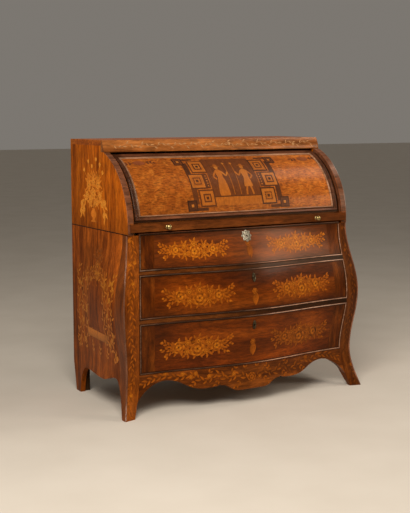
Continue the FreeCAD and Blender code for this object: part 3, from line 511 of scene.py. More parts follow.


# Hidden carcase: oak back boards, bottom, chest top, drawer runners and the slide's
# bearers, left unpolished and nailed or glued, and rear foot blocks darkened as painted shade.
BOARD_JOINTS = (-0.335, -0.165, 0.0, 0.165, 0.335)
JOINT_HALF = 0.0009
NAIL_INSET = 0.02
NAIL_ASIDE = 0.08
NAIL_HEAD = 0.0028
bare_oak, upright_oak, side_oak = (
    timber(f"bare_oak_{grain}", (0.19, 0.098, 0.036), (0.3, 0.165, 0.067), (0.4, 0.235, 0.1), grain,
           figure=20.0, wander=0.5, coat=0.0, roughness=0.62) for grain in "xzy")
# The rear foot blocks are darkened to paint the shade they stand in under the chest.
shade_painted_oak = timber("shade_painted_oak", (0.02, 0.01, 0.004), (0.04, 0.02, 0.009), (0.07, 0.036, 0.017),
                     "z", figure=20.0, wander=0.5, coat=0.0, roughness=0.62)
for node, oak in (("bottom_board", bare_oak), ("chest_top", bare_oak), ("lower_back", upright_oak),
                  ("upper_back", upright_oak), ("rear_feet", shade_painted_oak), ("drawer_runners", side_oak),
                  ("slide_bearers", side_oak)):
    covered(node, oak, "oak")
for node, foot_gap, head_gap in (("lower_back", 0.005, 0.0005), ("upper_back", 0.0005, 0.0005)):
    low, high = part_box(node)
    foot, head = low[2] + foot_gap, high[2] - head_gap
    joints = Inlay(2)
    for x in BOARD_JOINTS:
        joints.strip(oblong((x - JOINT_HALF, x + JOINT_HALF), (foot, head), 1, 6), 0.0)
        for up in (foot + NAIL_INSET, head - NAIL_INSET):
            button(joints, Vector((x - NAIL_ASIDE, up)), NAIL_HEAD, 0.0, 1)
    joints.laid(f"{node}_joints", Face(node, "y", 1), cut_veneers, "case")


# Apron and rails: a scalloped apron under the drawers and two narrow rails between them,
# walnut faced, tenoned into the posts.
SCROLL = ((0.012, 0.1), (0.06, 0.13), (0.11, 0.115), (0.16, 0.14), (0.215, 0.118), (0.27, 0.146),
          (0.33, 0.142), (0.38, 0.154), (0.44, 0.146), (0.49, 0.125))
SCROLL_SPRIGS = ((0.05, 0.112, -0.8), (0.1, 0.13, 2.3), (0.15, 0.125, -0.9), (0.2, 0.135, 2.2),
                 (0.25, 0.128, -0.7), (0.03, 0.14, 1.6))
apron_veneer = timber("apron_veneer", (0.05, 0.01, 0.001), (0.12, 0.027, 0.003), (0.23, 0.058, 0.007), "x")
# The drawer rails darken from left to right: painted shade, near black on the right between the beads.
rail_veneer = timber("rail_veneer", (0.06, 0.014, 0.002), (0.13, 0.034, 0.005), (0.22, 0.066, 0.011), "x",
                     glow=(("X", ((0.0, 0.9), (0.3, 1.0), (0.45, 0.5), (0.6, 0.2), (1.0, 0.12))),))
covered("apron", apron_veneer, "walnut")
scroll = Inlay(17)
for sign in (-1, 1):
    stem = curve([(sign * x, z) for x, z in SCROLL], 130)
    vine(scroll, stem, spacing=0.011, length=0.026, width=0.0085, tone=0.38 - 0.05 * sign, blooms=0.1)
    for x, z, way in SCROLL_SPRIGS:
        outward = way if sign > 0 else math.pi - way
        sprig(scroll, (sign * x, z), outward, length=0.055, width=0.0085, tone=0.42)
bloom(scroll, (0.0, 0.112), radius=0.02, petals=7, tone=0.44)
scroll.laid("apron_scroll", Face("apron", "y", -1), cut_veneers, "case")
for node in ("upper_drawer_rail", "lower_drawer_rail"):
    covered(node, rail_veneer, "dark_moulding")


# Drawers: oak boxes behind bowed walnut fronts, each edged with a cock bead, with an iron
# lock behind a brass keyhole plate.
FRONT_GLOW = ("X", ((0.0, 0.75), (0.1, 0.8), (0.2, 1.1), (0.4, 1.1), (0.5, 0.85), (0.6, 1.1), (0.8, 1.1),
                    (0.9, 0.8), (1.0, 0.75)))
# The bead crest is a paler strip painted as the highlight along each cock bead: bright on the right, in
# painted shade on the left, and dark along drawer one's top as painted shade.
CREST_GLOW = ("X", ((0.0, 0.36), (0.05, 0.28), (0.1, 0.1), (0.45, 0.14), (0.62, 1.0), (0.9, 1.0), (1.0, 0.8)))
front_veneers, crest_highlights = {}, {}
# The Z ramp paints shade along each front's top edge and, most on drawer two, along its foot; drawer three's
# foot is lightened instead, as painted light where its belly curves under away from the lamps.
for number, foot_glow, shine, top_crest_shade in (("one", 0.95, 0.3, 0.1), ("two", 0.45, 0.15, 0.9),
                                             ("three", 1.8, 0.15, 0.9)):
    front_veneers[number] = timber(
        f"drawer_{number}_veneer", (0.055, 0.009, 0.001), (0.125, 0.022, 0.001), (0.24, 0.05, 0.003),
        "x", figure=9.0, wander=1.4, coat=0.06, shine=shine,
        glow=(FRONT_GLOW, ("Z", ((0.0, foot_glow), (0.3, 1.1), (0.7, 1.15), (1.0, 0.7)))))
    crest_highlights[number] = timber(
        f"drawer_{number}_painted_highlight_crest", (0.3, 0.14, 0.08), (0.46, 0.25, 0.16), (0.64, 0.4, 0.28),
        "x", figure=30.0, coat=0.03, roughness=0.4,
        glow=(CREST_GLOW, ("Z", ((0.0, 1.0), (0.9, 1.0), (0.97, top_crest_shade)))))
# The end bands carry the same painted shade along their top and foot edges.
end_veneer = timber("drawer_end_veneer", (0.042, 0.007, 0.001), (0.094, 0.018, 0.001), (0.165, 0.037, 0.003),
                    "z", figure=34.0, wander=0.2,
                    glow=(("Z", ((0.0, 0.8), (0.25, 1.05), (0.7, 1.1), (1.0, 0.7))),))
bead_wood = timber("bead_wood", (0.035, 0.011, 0.005), (0.065, 0.021, 0.009), (0.11, 0.036, 0.015),
                   "x", figure=5.0, wander=1.0, coat=0.0, roughness=0.42)


def metal(name, roughness, metallic, mottle, detail, dark, bright):
    """A cast or forged metal with a mottled skin."""
    finish = Finish(name, roughness, 0.0, metallic)
    return finish.done(finish.ramp(finish.noise((mottle, mottle, mottle), detail), dark, bright))


iron_metal = metal("lock_iron", 0.42, 0.9, 60.0, 4.0, (0.35, (0.1, 0.085, 0.07)), (0.65, (0.22, 0.2, 0.18)))
plate_metal = metal("silvered_brass", 0.34, 1.0, 240.0, 5.0, (0.3, (0.13, 0.11, 0.075)),
                    (0.7, (0.4, 0.36, 0.28)))
dull_metal = metal("tarnished_brass", 0.45, 0.9, 240.0, 5.0, (0.3, (0.03, 0.024, 0.015)),
                   (0.7, (0.1, 0.078, 0.044)))
ROSES = ((-0.3, 0.2, 0.16), (0.27, 0.22, 0.16), (-0.28, -0.24, 0.15), (0.27, -0.22, 0.16),
         (-0.02, 0.3, 0.2), (-0.55, 0.0, 0.31), (0.52, 0.04, 0.31), (-0.01, -0.1, 0.37))
SPRAY_TIPS = ((0.96, 0.38), (0.97, 0.0), (0.84, -0.36))
ROSE_LEAVES = 7


def spray(work, middle, half, tall, lean, tone):
    """Round roses crowded in a row among leaves, thinning out to buds at both ends."""
    def at(x, z):
        return Vector(middle) + Vector((x * half * lean, z * tall))

    for end in (-1, 1):
        out = 0.0 if end * lean > 0 else math.pi
        for x, z in SPRAY_TIPS:
            stem = curve([at(end * 0.5, 0.02), at(end * 0.72, z * 0.35), at(end * x, z)], 20)
            vine(work, stem, tall * 0.1, tall * 0.24, tall * 0.12, tone - 0.07)
            leaf(work, stem[-1], out, tall * 0.15, tall * 0.12, 0.0, tone, 2)
    for k, (x, z, radius) in enumerate(ROSES):
        for j in range(ROSE_LEAVES):
            way = j * math.tau / ROSE_LEAVES + k
            root = at(x, z) + turned_way(way) * radius * tall * 0.8
            leaf(work, root, way + 0.3, tall * 0.27, tall * 0.13, -0.6, tone - 0.06)
    for k, (x, z, radius) in enumerate(ROSES):
        bloom(work, at(x, z), radius * tall, 6 + k % 2, tone, 0.7 * k)


EDGE_SAFE = 0.001


def front_spots(face, node):
    """Places on a drawer front: -1 to 1 from end to end and from foot to head, less an inset."""
    low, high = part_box(node)
    middle, half = (low[2] + high[2]) / 2, (high[2] - low[2]) / 2

    def spot_at(x, z, inset):
        up = middle + z * (half - inset)
        level = min(max(up, low[2] + EDGE_SAFE), high[2] - EDGE_SAFE)
        return x * (face.end(level) - inset), up

    return spot_at


def moulded(name, face, spot_at, profile, material, body, steps=36):
    """A moulding run round four mitred sides; the profile gives inset and height."""
    corners = [Vector(corner) for corner in ((-1.0, -1.0), (1.0, -1.0), (1.0, 1.0), (-1.0, 1.0))]
    spots, faces, tilt = [], [], 0.0
    for start, stop in zip(corners, corners[1:] + corners[:1]):
        for step in range(steps):
            here = start.lerp(stop, step / steps)
            for inset, height in profile:
                spot, normal = face(*spot_at(here.x, here.y, inset))
                spots.append(spot + normal * height)
    outward = face(*spot_at(0.99, 0.0, 0.003))[1]
    rows, across = 4 * steps, len(profile)
    for row in range(rows):
        for k in range(across - 1):
            a, b = row * across + k, (row + 1) % rows * across + k
            faces.append((a, a + 1, b + 1, b))
            tilt += (spots[a + 1] - spots[a]).cross(spots[b] - spots[a]).dot(outward)
    if tilt <= 0.0:
        faces = [facet[::-1] for facet in faces]
    return made(name, spots, faces, material, body)


def bead_section(inset, wide, lift, high):
    """The half-round section of a bead, from its outer foot to its inner foot."""
    return [(inset + wide * k / 8, lift + high * math.sin(math.pi * k / 8)) for k in range(9)]


PLATE_SIDES = 96
PLATE_DOMES = ((0.0, 0.0004), (0.0, 0.0022), (0.12, 0.0026), (0.3, 0.0016), (0.5, 0.0022), (0.7, 0.0028),
               (0.86, 0.0024), (0.97, 0.0012), (1.0, 0.0002))
KEYHOLE = 0.0034
KEY_SLIT = (0.0016, 0.009)
SLIT_BELOW = -0.9
LOBE_SWELL = 0.35


def key_plate(name, node, face, lobes, depth, material, body):
    """A cast keyhole plate: rings from the keyhole out to a lobed rim, each at its own height."""
    low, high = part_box(node)
    middle = Vector(((low[0] + high[0]) / 2, (low[2] + high[2]) / 2))
    wide, tall = (high[0] - low[0]) / 2, (high[2] - low[2]) / 2
    spots = []
    for share, height in PLATE_DOMES:
        for k in range(PLATE_SIDES):
            angle = math.tau * k / PLATE_SIDES
            way = turned_way(angle)
            wave = math.cos(lobes * (angle - math.pi / 2))
            hole = KEYHOLE
            if way.y <= SLIT_BELOW:
                hole = max(hole, min(KEY_SLIT[0] / max(abs(way.x), 0.0001), KEY_SLIT[1] / abs(way.y)))
            rim = way * (1.0 - depth + depth * wave)
            point = (way * hole).lerp(Vector((rim.x * wide, rim.y * tall)), share)
            spot, normal = face(*(middle + point))
            spots.append(spot + normal * height * (1.0 + LOBE_SWELL * wave * share))
    faces = [(a, d, c, b) for a, b, c, d in facets(len(PLATE_DOMES), PLATE_SIDES, ringed=True)]
    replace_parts(made(name, spots, faces, material, body), node)


# Each drawer's spray tones are given left then right; drawer one's right spray is paler as a painted sheen.
SPRAYS = {"one": (0.655, 0.069, (0.57, 0.62)), "two": (0.472, 0.079, (0.5, 0.52)),
          "three": (0.262, 0.082, (0.54, 0.44))}
SPRAY_MIDDLE = 0.252
SPRAY_HALF = 0.154
DROPS = {"one": (0.645, 0.38), "two": (0.452, 0.43), "three": (0.238, 0.42)}
PLATES = {"one": (8, 0.1, plate_metal), "two": (0, 0.0, dull_metal), "three": (0, 0.0, dull_metal)}
END_BAND = 0.06
END_INSET = 0.007
SHADOW_LINE_INSETS = (0.0066, 0.0094)
SHADOW_LINE_PROUD = 0.0004
ROUND_BEAD = bead_section(0.0002, 0.0068, 0.0002, 0.0038)
CREST = [(inset, height + 0.0002) for inset, height in ROUND_BEAD[2:7]]
for number in ("one", "two", "three"):
    body = f"drawer_{number}"
    covered(f"{body}_front", front_veneers[number], "walnut")
    face = Face(f"{body}_front", "y", -1)
    flowers = Inlay(23)
    up, tall, tones = SPRAYS[number]
    for sign, tone in zip((-1, 1), tones):
        spray(flowers, (sign * SPRAY_MIDDLE, up), SPRAY_HALF, tall, sign, tone)
    drop, drop_tone = DROPS[number]
    leaf(flowers, (0.0, drop + 0.02), -1.4, length=0.056, width=0.028, bend=-0.3, tone=drop_tone)
    leaf(flowers, (0.006, drop + 0.014), -2.0, length=0.044, width=0.024, bend=0.4, tone=drop_tone - 0.04)
    bloom(flowers, (0.0, drop + 0.024), radius=0.012, petals=6, tone=drop_tone + 0.02)
    flowers.laid(f"{body}_flowers", face, cut_veneers, body)
    spot_at = front_spots(face, f"{body}_front")
    ends = Inlay(19)
    edges = [spot_at(1.0, i / 6 - 1.0, END_INSET) for i in range(13)]
    for sign in (-1, 1):
        ends.strip([[Vector((sign * (reach - END_BAND * j / 4), up)) for j in range(5)]
                    for reach, up in edges], 0.5)
    ends.laid(f"{body}_ends", face, end_veneer, body, UNDERLAY)
    # A near-black line laid just inside each cock bead, painted as the shadow beside the bead.
    shadow_line = Inlay(7)
    for sign in (-1, 1):
        shadow_line.strip([[Vector(spot_at(sign, i / 6 - 1.0, inset)) for inset in SHADOW_LINE_INSETS]
                    for i in range(13)], 0.02)
        shadow_line.strip([[Vector(spot_at(i / 20 - 1.0, sign, inset)) for inset in SHADOW_LINE_INSETS]
                    for i in range(41)], 0.02)
    shadow_line.laid(f"{body}_line", face, cut_veneers, body, SHADOW_LINE_PROUD)
    bead = moulded(f"{body}_cock_bead", face, spot_at, ROUND_BEAD, bead_wood, body)
    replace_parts(bead, f"{body}_bead")
    # The crest strip over the bead paints its highlight.
    moulded(f"{body}_bead_crest", face, spot_at, CREST, crest_highlights[number], body)
    lobes, depth, plate = PLATES[number]
    key_plate(f"{body}_key_plate", f"{body}_escutcheon", face, lobes, depth, plate, body)
    for piece, material, slot in (("box", side_oak, "oak"), ("bottom", bare_oak, "oak"),
                                  ("bead", bead_wood, "dark_moulding"), ("escutcheon", plate_metal, "brass"),
                                  ("lock", iron_metal, "iron"), ("bolt", iron_metal, "iron")):
        covered(f"{body}_{piece}", material, slot)


# Upper sides: quarter-round boards veneered with streaky upright walnut and inlaid with a
# vase of flowers, screwed down through the chest's top.
VASE_FOOT = Vector((0.09, 0.752))
VASE = ((0.024, 0.0), (0.027, 0.004), (0.012, 0.01), (0.012, 0.016), (0.025, 0.026), (0.028, 0.036),
        (0.02, 0.046), (0.013, 0.052), (0.018, 0.057))
STALK_TIPS = ((-0.08, 0.2), (-0.058, 0.23), (-0.024, 0.25), (0.012, 0.22), (0.045, 0.24), (0.082, 0.205))
TENDRIL = ((0.0, 0.06), (0.06, 0.1), (0.1, 0.07), (0.112, 0.025))
FLOWER_HEADS = ((0.0, 0.168, 0.018, 6), (-0.042, 0.158, 0.02, 6), (0.044, 0.152, 0.02, 6),
                (0.002, 0.118, 0.024, 7), (-0.06, 0.112, 0.017, 6), (0.062, 0.108, 0.017, 6),
                (-0.034, 0.082, 0.014, 5), (0.036, 0.08, 0.014, 5))
HEAD_LEAVES = 5
SEAM_INSET = 0.001
SEAM_LEVELS = (0.0002, 0.0042)
pale_veneers = marquetry("pale_veneers", 0.5, (0.0, (0.2, 0.04, 0.003)), (0.5, (0.7, 0.165, 0.007)),
                         (1.0, (1.0, 0.37, 0.035)))
# The upper sides are lighter towards the front as painted light, and darker towards the foot.
bright_veneer = timber("upper_side_veneer", (0.3, 0.058, 0.001), (0.47, 0.102, 0.003), (0.66, 0.165, 0.007),
                       "z", figure=30.0, wander=1.0, shine=0.05,
                       glow=(("Y", ((0.0, 1.32), (0.3, 1.15), (0.6, 0.98), (1.0, 0.92))),
                             ("Z", ((0.0, 0.6), (0.12, 0.72), (0.3, 1.0)))))
for hand, sign in HANDS:
    covered(f"upper_side_{hand}", bright_veneer, "walnut")
    bouquet = Inlay(29)
    bouquet.strip([[VASE_FOOT + Vector((x * j / 3, z)) for j in range(-3, 4)] for x, z in VASE], 0.6, 3)
    for x, z in STALK_TIPS:
        points = ((0.0, 0.055), (x * 0.35, 0.14), (x, z))
        stalk = curve([VASE_FOOT + Vector(point) for point in points], 14)
        ribbon(bouquet, stalk, 0.0024, 0.75)
        way = math.atan2(*(stalk[-1] - stalk[-2]).yx)
        for turn in (-0.5, 0.0, 0.5):
            leaf(bouquet, stalk[-1], way + turn, length=0.02, width=0.008, bend=-turn * 0.6, tone=0.9,
                 layer=2)
        for turn in (-0.7, 0.7):
            leaf(bouquet, stalk[10], way + turn, length=0.034, width=0.01, bend=-turn * 0.5, tone=0.66)
    for end in (-1, 1):
        tendril = curve([VASE_FOOT + Vector((end * x, z)) for x, z in TENDRIL], 40)
        vine(bouquet, tendril, spacing=0.012, length=0.036, width=0.013, tone=0.8, blooms=0.3)
    for k, (x, z, radius, petals) in enumerate(FLOWER_HEADS):
        spot = VASE_FOOT + Vector((x, z))
        for j in range(HEAD_LEAVES):
            way = j * math.tau / HEAD_LEAVES + k * 0.9
            root = spot + turned_way(way) * radius * 0.7
            leaf(bouquet, root, way, radius * 1.5, radius * 0.5, bend=0.5, tone=0.66)
        bloom(bouquet, spot, radius, petals, 0.8, 0.5 * k)
    face = Face(f"upper_side_{hand}", "x", sign)
    bouquet.laid(f"side_bouquet_{hand}", face, pale_veneers, "case")
    # A dark line along the foot of each upper side marks its joint with the chest, darkened as the painted
    # shadow in the gap.
    seam_shadow = Inlay(13)
    low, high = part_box(f"upper_side_{hand}")
    front, back = low[1] + SEAM_INSET, high[1] - SEAM_INSET
    seam_shadow.strip([[Vector((front + (back - front) * i / 20, low[2] + up)) for up in SEAM_LEVELS]
                for i in range(21)], 0.0)
    seam_shadow.laid(f"seam_line_{hand}", face, cut_veneers, "case")


# Edge bands: walnut cut across the grain and glued on the curved front edges of the upper
# sides, inside and out, with a paler strip along the outer corner painted as the arris' highlight.
low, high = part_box("cylinder_pivots")
AXIS = Vector((0.0, (low[1] + high[1]) / 2, (low[2] + high[2]) / 2))
SHELL_RADIUS = 0.297
low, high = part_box("upper_side_right")
EDGE_RADIUS = AXIS.y - low[1]
SIDE_FOOT = low[2]
SIDE_INSIDE, SIDE_OUTSIDE = low[0], high[0]
BAND_RISE = (0.024, 0.368)
BAND_ENDS = (SIDE_INSIDE + 0.0005, SIDE_OUTSIDE - 0.0005)
FOOT_ENDS = (SIDE_INSIDE + 0.0008, SIDE_OUTSIDE - 0.0005)
FOOT_LEVELS = (SIDE_FOOT + 0.0006, SIDE_FOOT + 0.0461)
RIM_ENDS = (SIDE_OUTSIDE - 0.0022, SIDE_OUTSIDE - 0.0001)
RIM_PROUD = 0.0002
CHEEK_RADII = (SHELL_RADIUS - 0.0005, EDGE_RADIUS - 0.0001)
CHEEK_PROUD = 0.0002


def rounded(radius):
    """Spots on a round about the cylinder's axis; lengths run up the shell from the axis' level."""
    def place(x, rise):
        angle = rise / SHELL_RADIUS
        way = Vector((0.0, -math.cos(angle), math.sin(angle)))
        return AXIS + Vector((x, 0.0, 0.0)) + way * radius, way

    return place


def cheek(sign):
    """Spots on the inner face of an upper side, by radius and by length up the shell."""
    def place(radius, rise):
        return rounded(radius)(sign * (SIDE_INSIDE + CHEEK_PROUD), rise)[0], Vector((-sign, 0.0, 0.0))

    return place


band_wood = timber("edge_band", (0.085, 0.03, 0.013), (0.155, 0.054, 0.025), (0.23, 0.086, 0.042),
                   "x", figure=40.0)
for hand, sign in HANDS:
    band = Inlay(37)
    band.strip(oblong([sign * end for end in BAND_ENDS], BAND_RISE, 3, 60), 0.5)
    band.laid(f"edge_band_{hand}", rounded(EDGE_RADIUS), band_wood, "case")
    foot_band = Inlay(38)
    foot_band.strip(oblong([sign * end for end in FOOT_ENDS], FOOT_LEVELS, 3, 4), 0.5)
    foot_band.laid(f"edge_foot_{hand}", Face(f"upper_side_{hand}", "y", -1), band_wood, "case")
    # The rim is a paler strip painted as the highlight on the outer arris.
    rim = Inlay(39)
    rim.strip(oblong([sign * end for end in RIM_ENDS], (0.0, BAND_RISE[1]), 1, 60), 0.5)
    rim.laid(f"edge_rim_{hand}", rounded(EDGE_RADIUS + RIM_PROUD), arris_highlight_wood, "case")
    inner = Inlay(40)
    inner.strip(oblong(CHEEK_RADII, BAND_RISE, 2, 60), 0.5)
    inner.laid(f"edge_cheek_{hand}", cheek(sign), band_wood, "case")


# Pigeonholes: thin walnut boards nailed together on the back board over three small
# drawers, which have an inlaid edging and turned brass knobs.
SMALL_KNOB = ((0.0, 0.0126), (0.0035, 0.0125), (0.0058, 0.0112), (0.0068, 0.0092), (0.0068, 0.0078),
              (0.0058, 0.0058), (0.0036, 0.0045), (0.0032, 0.003), (0.0045, 0.0015), (0.0052, 0.0006),
              (0.0052, 0.0))
SMALL_KNOB_SEAT = 0.012
nest_wood = timber("nest_wood", (0.16, 0.045, 0.008), (0.28, 0.088, 0.016), (0.4, 0.145, 0.03),
                   "x", figure=18.0)
brass_metal = metal("old_brass", 0.3, 1.0, 160.0, 5.0, (0.3, (0.22, 0.15, 0.052)), (0.7, (0.52, 0.39, 0.165)))


def turned_knob(name, middle, profile, body, sides=28):
    """A brass knob turned on the lathe; the profile gives radius and distance out."""
    spots = []
    for radius, out in profile:
        for k in range(sides):
            way = turned_way(math.tau * k / sides) * radius
            spots.append(middle + Vector((way.x, -out, way.y)))
    return made(name, spots, facets(len(profile), sides, ringed=True), brass_metal, body)


def bordered(work, corner, opposite, inset, wide, tone):
    """A line run round an oblong, a way in from its edges."""
    left, foot = corner[0] + inset, corner[1] + inset
    right, head = opposite[0] - inset, opposite[1] - inset
    for shadow_line in (((left, foot), (right, foot)), ((left, head), (right, head)),
                 ((left, foot), (left, head)), ((right, foot), (right, head))):
        ribbon(work, curve(shadow_line, 12), wide, tone)


for node in ("nest_base", "nest_shelf", "nest_top", "nest_ends", "nest_partitions"):
    covered(node, nest_wood, "walnut")
for bay in ("left", "middle", "right"):
    covered(f"small_drawer_{bay}", nest_wood, "walnut")
    low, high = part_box(f"small_drawer_{bay}")
    edging = Inlay(47)
    for inset, wide, tone in ((0.0035, 0.004, 0.05), (0.0085, 0.0014, 0.9)):
        bordered(edging, (low[0], low[2]), (high[0], high[2]), inset, wide, tone)
    edging.laid(f"small_edging_{bay}", Face(f"small_drawer_{bay}", "y", -1), cut_veneers, f"small_{bay}")
    middle = Vector(((low[0] + high[0]) / 2, low[1] + SMALL_KNOB_SEAT, (low[2] + high[2]) / 2))
    turned_knob(f"small_knob_{bay}", middle, SMALL_KNOB, f"small_{bay}")


# Writing slide: a walnut board with a leather inset and a front rail with two brass knobs,
# which runs out on bearers when the cylinder goes up; iron link plates hang from its edges.
KNOB = ((0.0, 0.024), (0.0045, 0.0238), (0.008, 0.0222), (0.0104, 0.0192), (0.011, 0.0165), (0.0102, 0.0138),
        (0.0075, 0.0115), (0.005, 0.0098), (0.0046, 0.0078), (0.0052, 0.0058), (0.0078, 0.0044),
        (0.0088, 0.0034), (0.009, 0.0022), (0.0084, 0.001), (0.009, 0.0))
ROSE_INSET = 0.03
leather = Finish("writing_leather", 0.5)
leather_grain = leather.noise((420.0, 420.0, 420.0), 6.0, 0.3)
leather.raised(leather_grain, 0.0004)
leather_hide = leather.done(leather.ramp(leather_grain, (0.3, (0.018, 0.022, 0.009)),
                                         (0.7, (0.05, 0.055, 0.022))))
slide_veneer = timber("slide_veneer", (0.05, 0.012, 0.002), (0.115, 0.028, 0.005), (0.22, 0.062, 0.01),
                      "x", figure=12.0)
gilt_lines = marquetry("gilt_tooling", 0.0, (0.0, (0.2, 0.11, 0.02)), (1.0, (0.62, 0.4, 0.1)))
covered("slide_board", nest_wood, "walnut")
covered("slide_rail", slide_veneer, "dark_moulding")
covered("writing_leather", leather_hide, "leather")
covered("slide_link_plates", iron_metal, "iron")


def flat(height):
    """Spots on a level board."""
    return lambda x, y: (Vector((x, y, height)), Vector((0.0, 0.0, 1.0)))


tooling = Inlay(53)
low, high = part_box("writing_leather")
bordered(tooling, low, high, inset=0.016, wide=0.0022, tone=0.8)
bordered(tooling, low, high, inset=0.022, wide=0.0009, tone=0.6)
for x in (low[0] + ROSE_INSET, high[0] - ROSE_INSET):
    for y in (low[1] + ROSE_INSET, high[1] - ROSE_INSET):
        bloom(tooling, (x, y), radius=0.008, petals=6, tone=0.7)
tooling.laid("leather_tooling", flat(high[2]), gilt_lines, "slide")
for hand in ("left", "right"):
    covered(f"slide_knob_{hand}", brass_metal, "brass")
    low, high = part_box(f"slide_knob_{hand}")
    middle = Vector(((low[0] + high[0]) / 2, high[1], (low[2] + high[2]) / 2))
    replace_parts(turned_knob(f"slide_pull_{hand}", middle, KNOB, "slide"), f"slide_knob_{hand}")


# Cylinder: a coopered quarter-round shell veneered with burr walnut and inlaid with a
# picture, framed by a moulding, on two quadrant boards that turn on iron pivots.
burr = Finish("burr_walnut", 0.36, 0.05)
eyes = burr.noise((60.0, 210.0, 210.0), 8.0, 0.8)
swirl = burr.noise((26.0, 26.0, 26.0), 6.0, 1.2)
spread = burr.parts(burr.spread)
burr_colour = burr.ramp(swirl, (0.3, (0.22, 0.048, 0.004)), (0.52, (0.3, 0.075, 0.007)),
                        (0.74, (0.41, 0.12, 0.013)))
burr_colour = burr.shaded(0.8, burr_colour, eyes, (0.36, 0.42), (0.6, 1.28))
# The burr is darker towards the shell's foot, and lighter towards its right end as a painted highlight.
burr_colour = burr.shaded(1.0, burr_colour, spread["Z"], (0.0, 0.74), (0.5, 0.95), (1.0, 1.0))
burr_colour = burr.shaded(1.0, burr_colour, spread["X"], (0.0, 0.9), (0.6, 1.0), (1.0, 1.35))
covered("cylinder_shell", burr.done(burr_colour), "burr_walnut")
flat_veneers = marquetry("flat_veneers", 0.0, (0.0, (0.035, 0.011, 0.005)), (0.3, (0.16, 0.04, 0.007)),
                         (0.55, (0.32, 0.085, 0.008)), (0.8, (0.44, 0.15, 0.022)), (1.0, (0.56, 0.24, 0.05)))
picture = Inlay(41)


def slab(across, up, tone, layer=0):
    """An oblong in the picture, in rows short enough to follow the round."""
    picture.strip(oblong(across, up, 4, max(2, round((up[1] - up[0]) / 0.008))), tone, layer)


def nested(x, rise, half, tones):
    """Squares inside squares, from the outermost in."""
    for k, tone in enumerate(tones):
        part = half * (1.0 - k / len(tones))
        slab((x - part, x + part), (rise - part, rise + part), tone, 2 + k)


PANEL_HALF = 0.118
PANEL_LEVELS = (0.116, 0.318)
PLINTH_HALF = 0.125
PLINTH_LEVELS = (0.078, 0.114)
PLINTH_LINE = (0.114, 0.1165)
PLINTH_JOINT = 0.0008
PLINTH_STEP = 0.025
PLINTH_JOINT_LEVELS = (0.079, 0.1135)
LARGE_SQUARES = ((0.15, 0.268), (0.178, 0.19), (0.15, 0.112))
LARGE_HALF = 0.037
LARGE_TONES = (0.08, 0.6, 0.58, 0.12, 0.62, 0.05)
SMALL_SQUARES = ((0.226, 0.302), (0.226, 0.082))
SMALL_HALF = 0.023
SMALL_TONES = (0.02, 0.14, 0.04, 0.64)
FILLETS = ((0.205, 0.252, 0.012, 0.04), (0.205, 0.128, 0.012, 0.04), (0.132, 0.19, 0.009, 0.036),
           (0.19, 0.316, 0.036, 0.006), (0.19, 0.066, 0.036, 0.006))
PEARLS = [(0.132, 0.166 + 0.012 * k) for k in range(5)]
PEARL = 0.0032
slab((-PANEL_HALF, PANEL_HALF), PANEL_LEVELS, 0.2)
slab((-PLINTH_HALF, PLINTH_HALF), PLINTH_LEVELS, 0.6, 1)
slab((-PLINTH_HALF, PLINTH_HALF), PLINTH_LINE, 0.05, 2)
for k in range(-4, 5):
    x = PLINTH_STEP * k
    slab((x - PLINTH_JOINT, x + PLINTH_JOINT), PLINTH_JOINT_LEVELS, 0.42, 2)
for sign in (-1, 1):
    for x, rise in LARGE_SQUARES:
        nested(sign * x, rise, LARGE_HALF, LARGE_TONES)
    for x, rise in SMALL_SQUARES:
        nested(sign * x, rise, SMALL_HALF, SMALL_TONES)
    for x, rise, wide, tall in FILLETS:
        slab((sign * x - wide, sign * x + wide), (rise - tall, rise + tall), 0.1, 1)
    for x, rise in PEARLS:
        button(picture, Vector((sign * x, rise)), PEARL, 0.62, 3)
GOWN = ((0.0, -0.13, 0.15), (0.03, -0.15, 0.17), (0.14, -0.15, 0.16), (0.32, -0.125, 0.14),
        (0.46, -0.095, 0.115), (0.55, -0.07, 0.085), (0.66, -0.09, 0.1), (0.75, -0.115, 0.115),
        (0.79, -0.07, 0.07), (0.82, -0.028, 0.028))
COAT = ((0.24, -0.13, 0.12), (0.3, -0.135, 0.125), (0.42, -0.1, 0.1), (0.54, -0.075, 0.08), (0.66, -0.1, 0.1),
        (0.75, -0.12, 0.115), (0.79, -0.06, 0.06), (0.82, -0.028, 0.028))
HAT = ((0.925, -0.14, 0.14), (0.94, -0.12, 0.12), (0.95, -0.06, 0.06), (1.0, -0.045, 0.045),
       (1.01, -0.02, 0.02))
FIGURE_TALL = 0.158
FIGURE_FOOT = 0.119
GOWN_MIDDLE = -0.062
COAT_MIDDLE = 0.064
FACE_ROUND = 0.0095
SLEEVE = 0.0075
STAFF_WIDE = 0.003
STAFF_KNOB = 0.006
LEG = ((0.02, 0.16), (0.034, 0.138), (0.04, 0.12))
LEG_WIDE = 0.0085
FIGURE_LINES = (((0.0, 0.885),), ((0.1, 0.73), (0.2, 0.6), (0.28, 0.72)),
                ((-0.1, 0.72), (-0.19, 0.58), (-0.12, 0.48)), ((0.3, 0.02), (0.28, 1.02)), ((0.28, 1.04),))


def garment(rows, foot, tone, layer):
    """A piece of a figure, given by its left and right edges at rising levels."""
    picture.strip([[foot + Vector((left + (right - left) * j / 4, up)) * FIGURE_TALL for j in range(5)]
                   for up, left, right in rows], tone, layer)


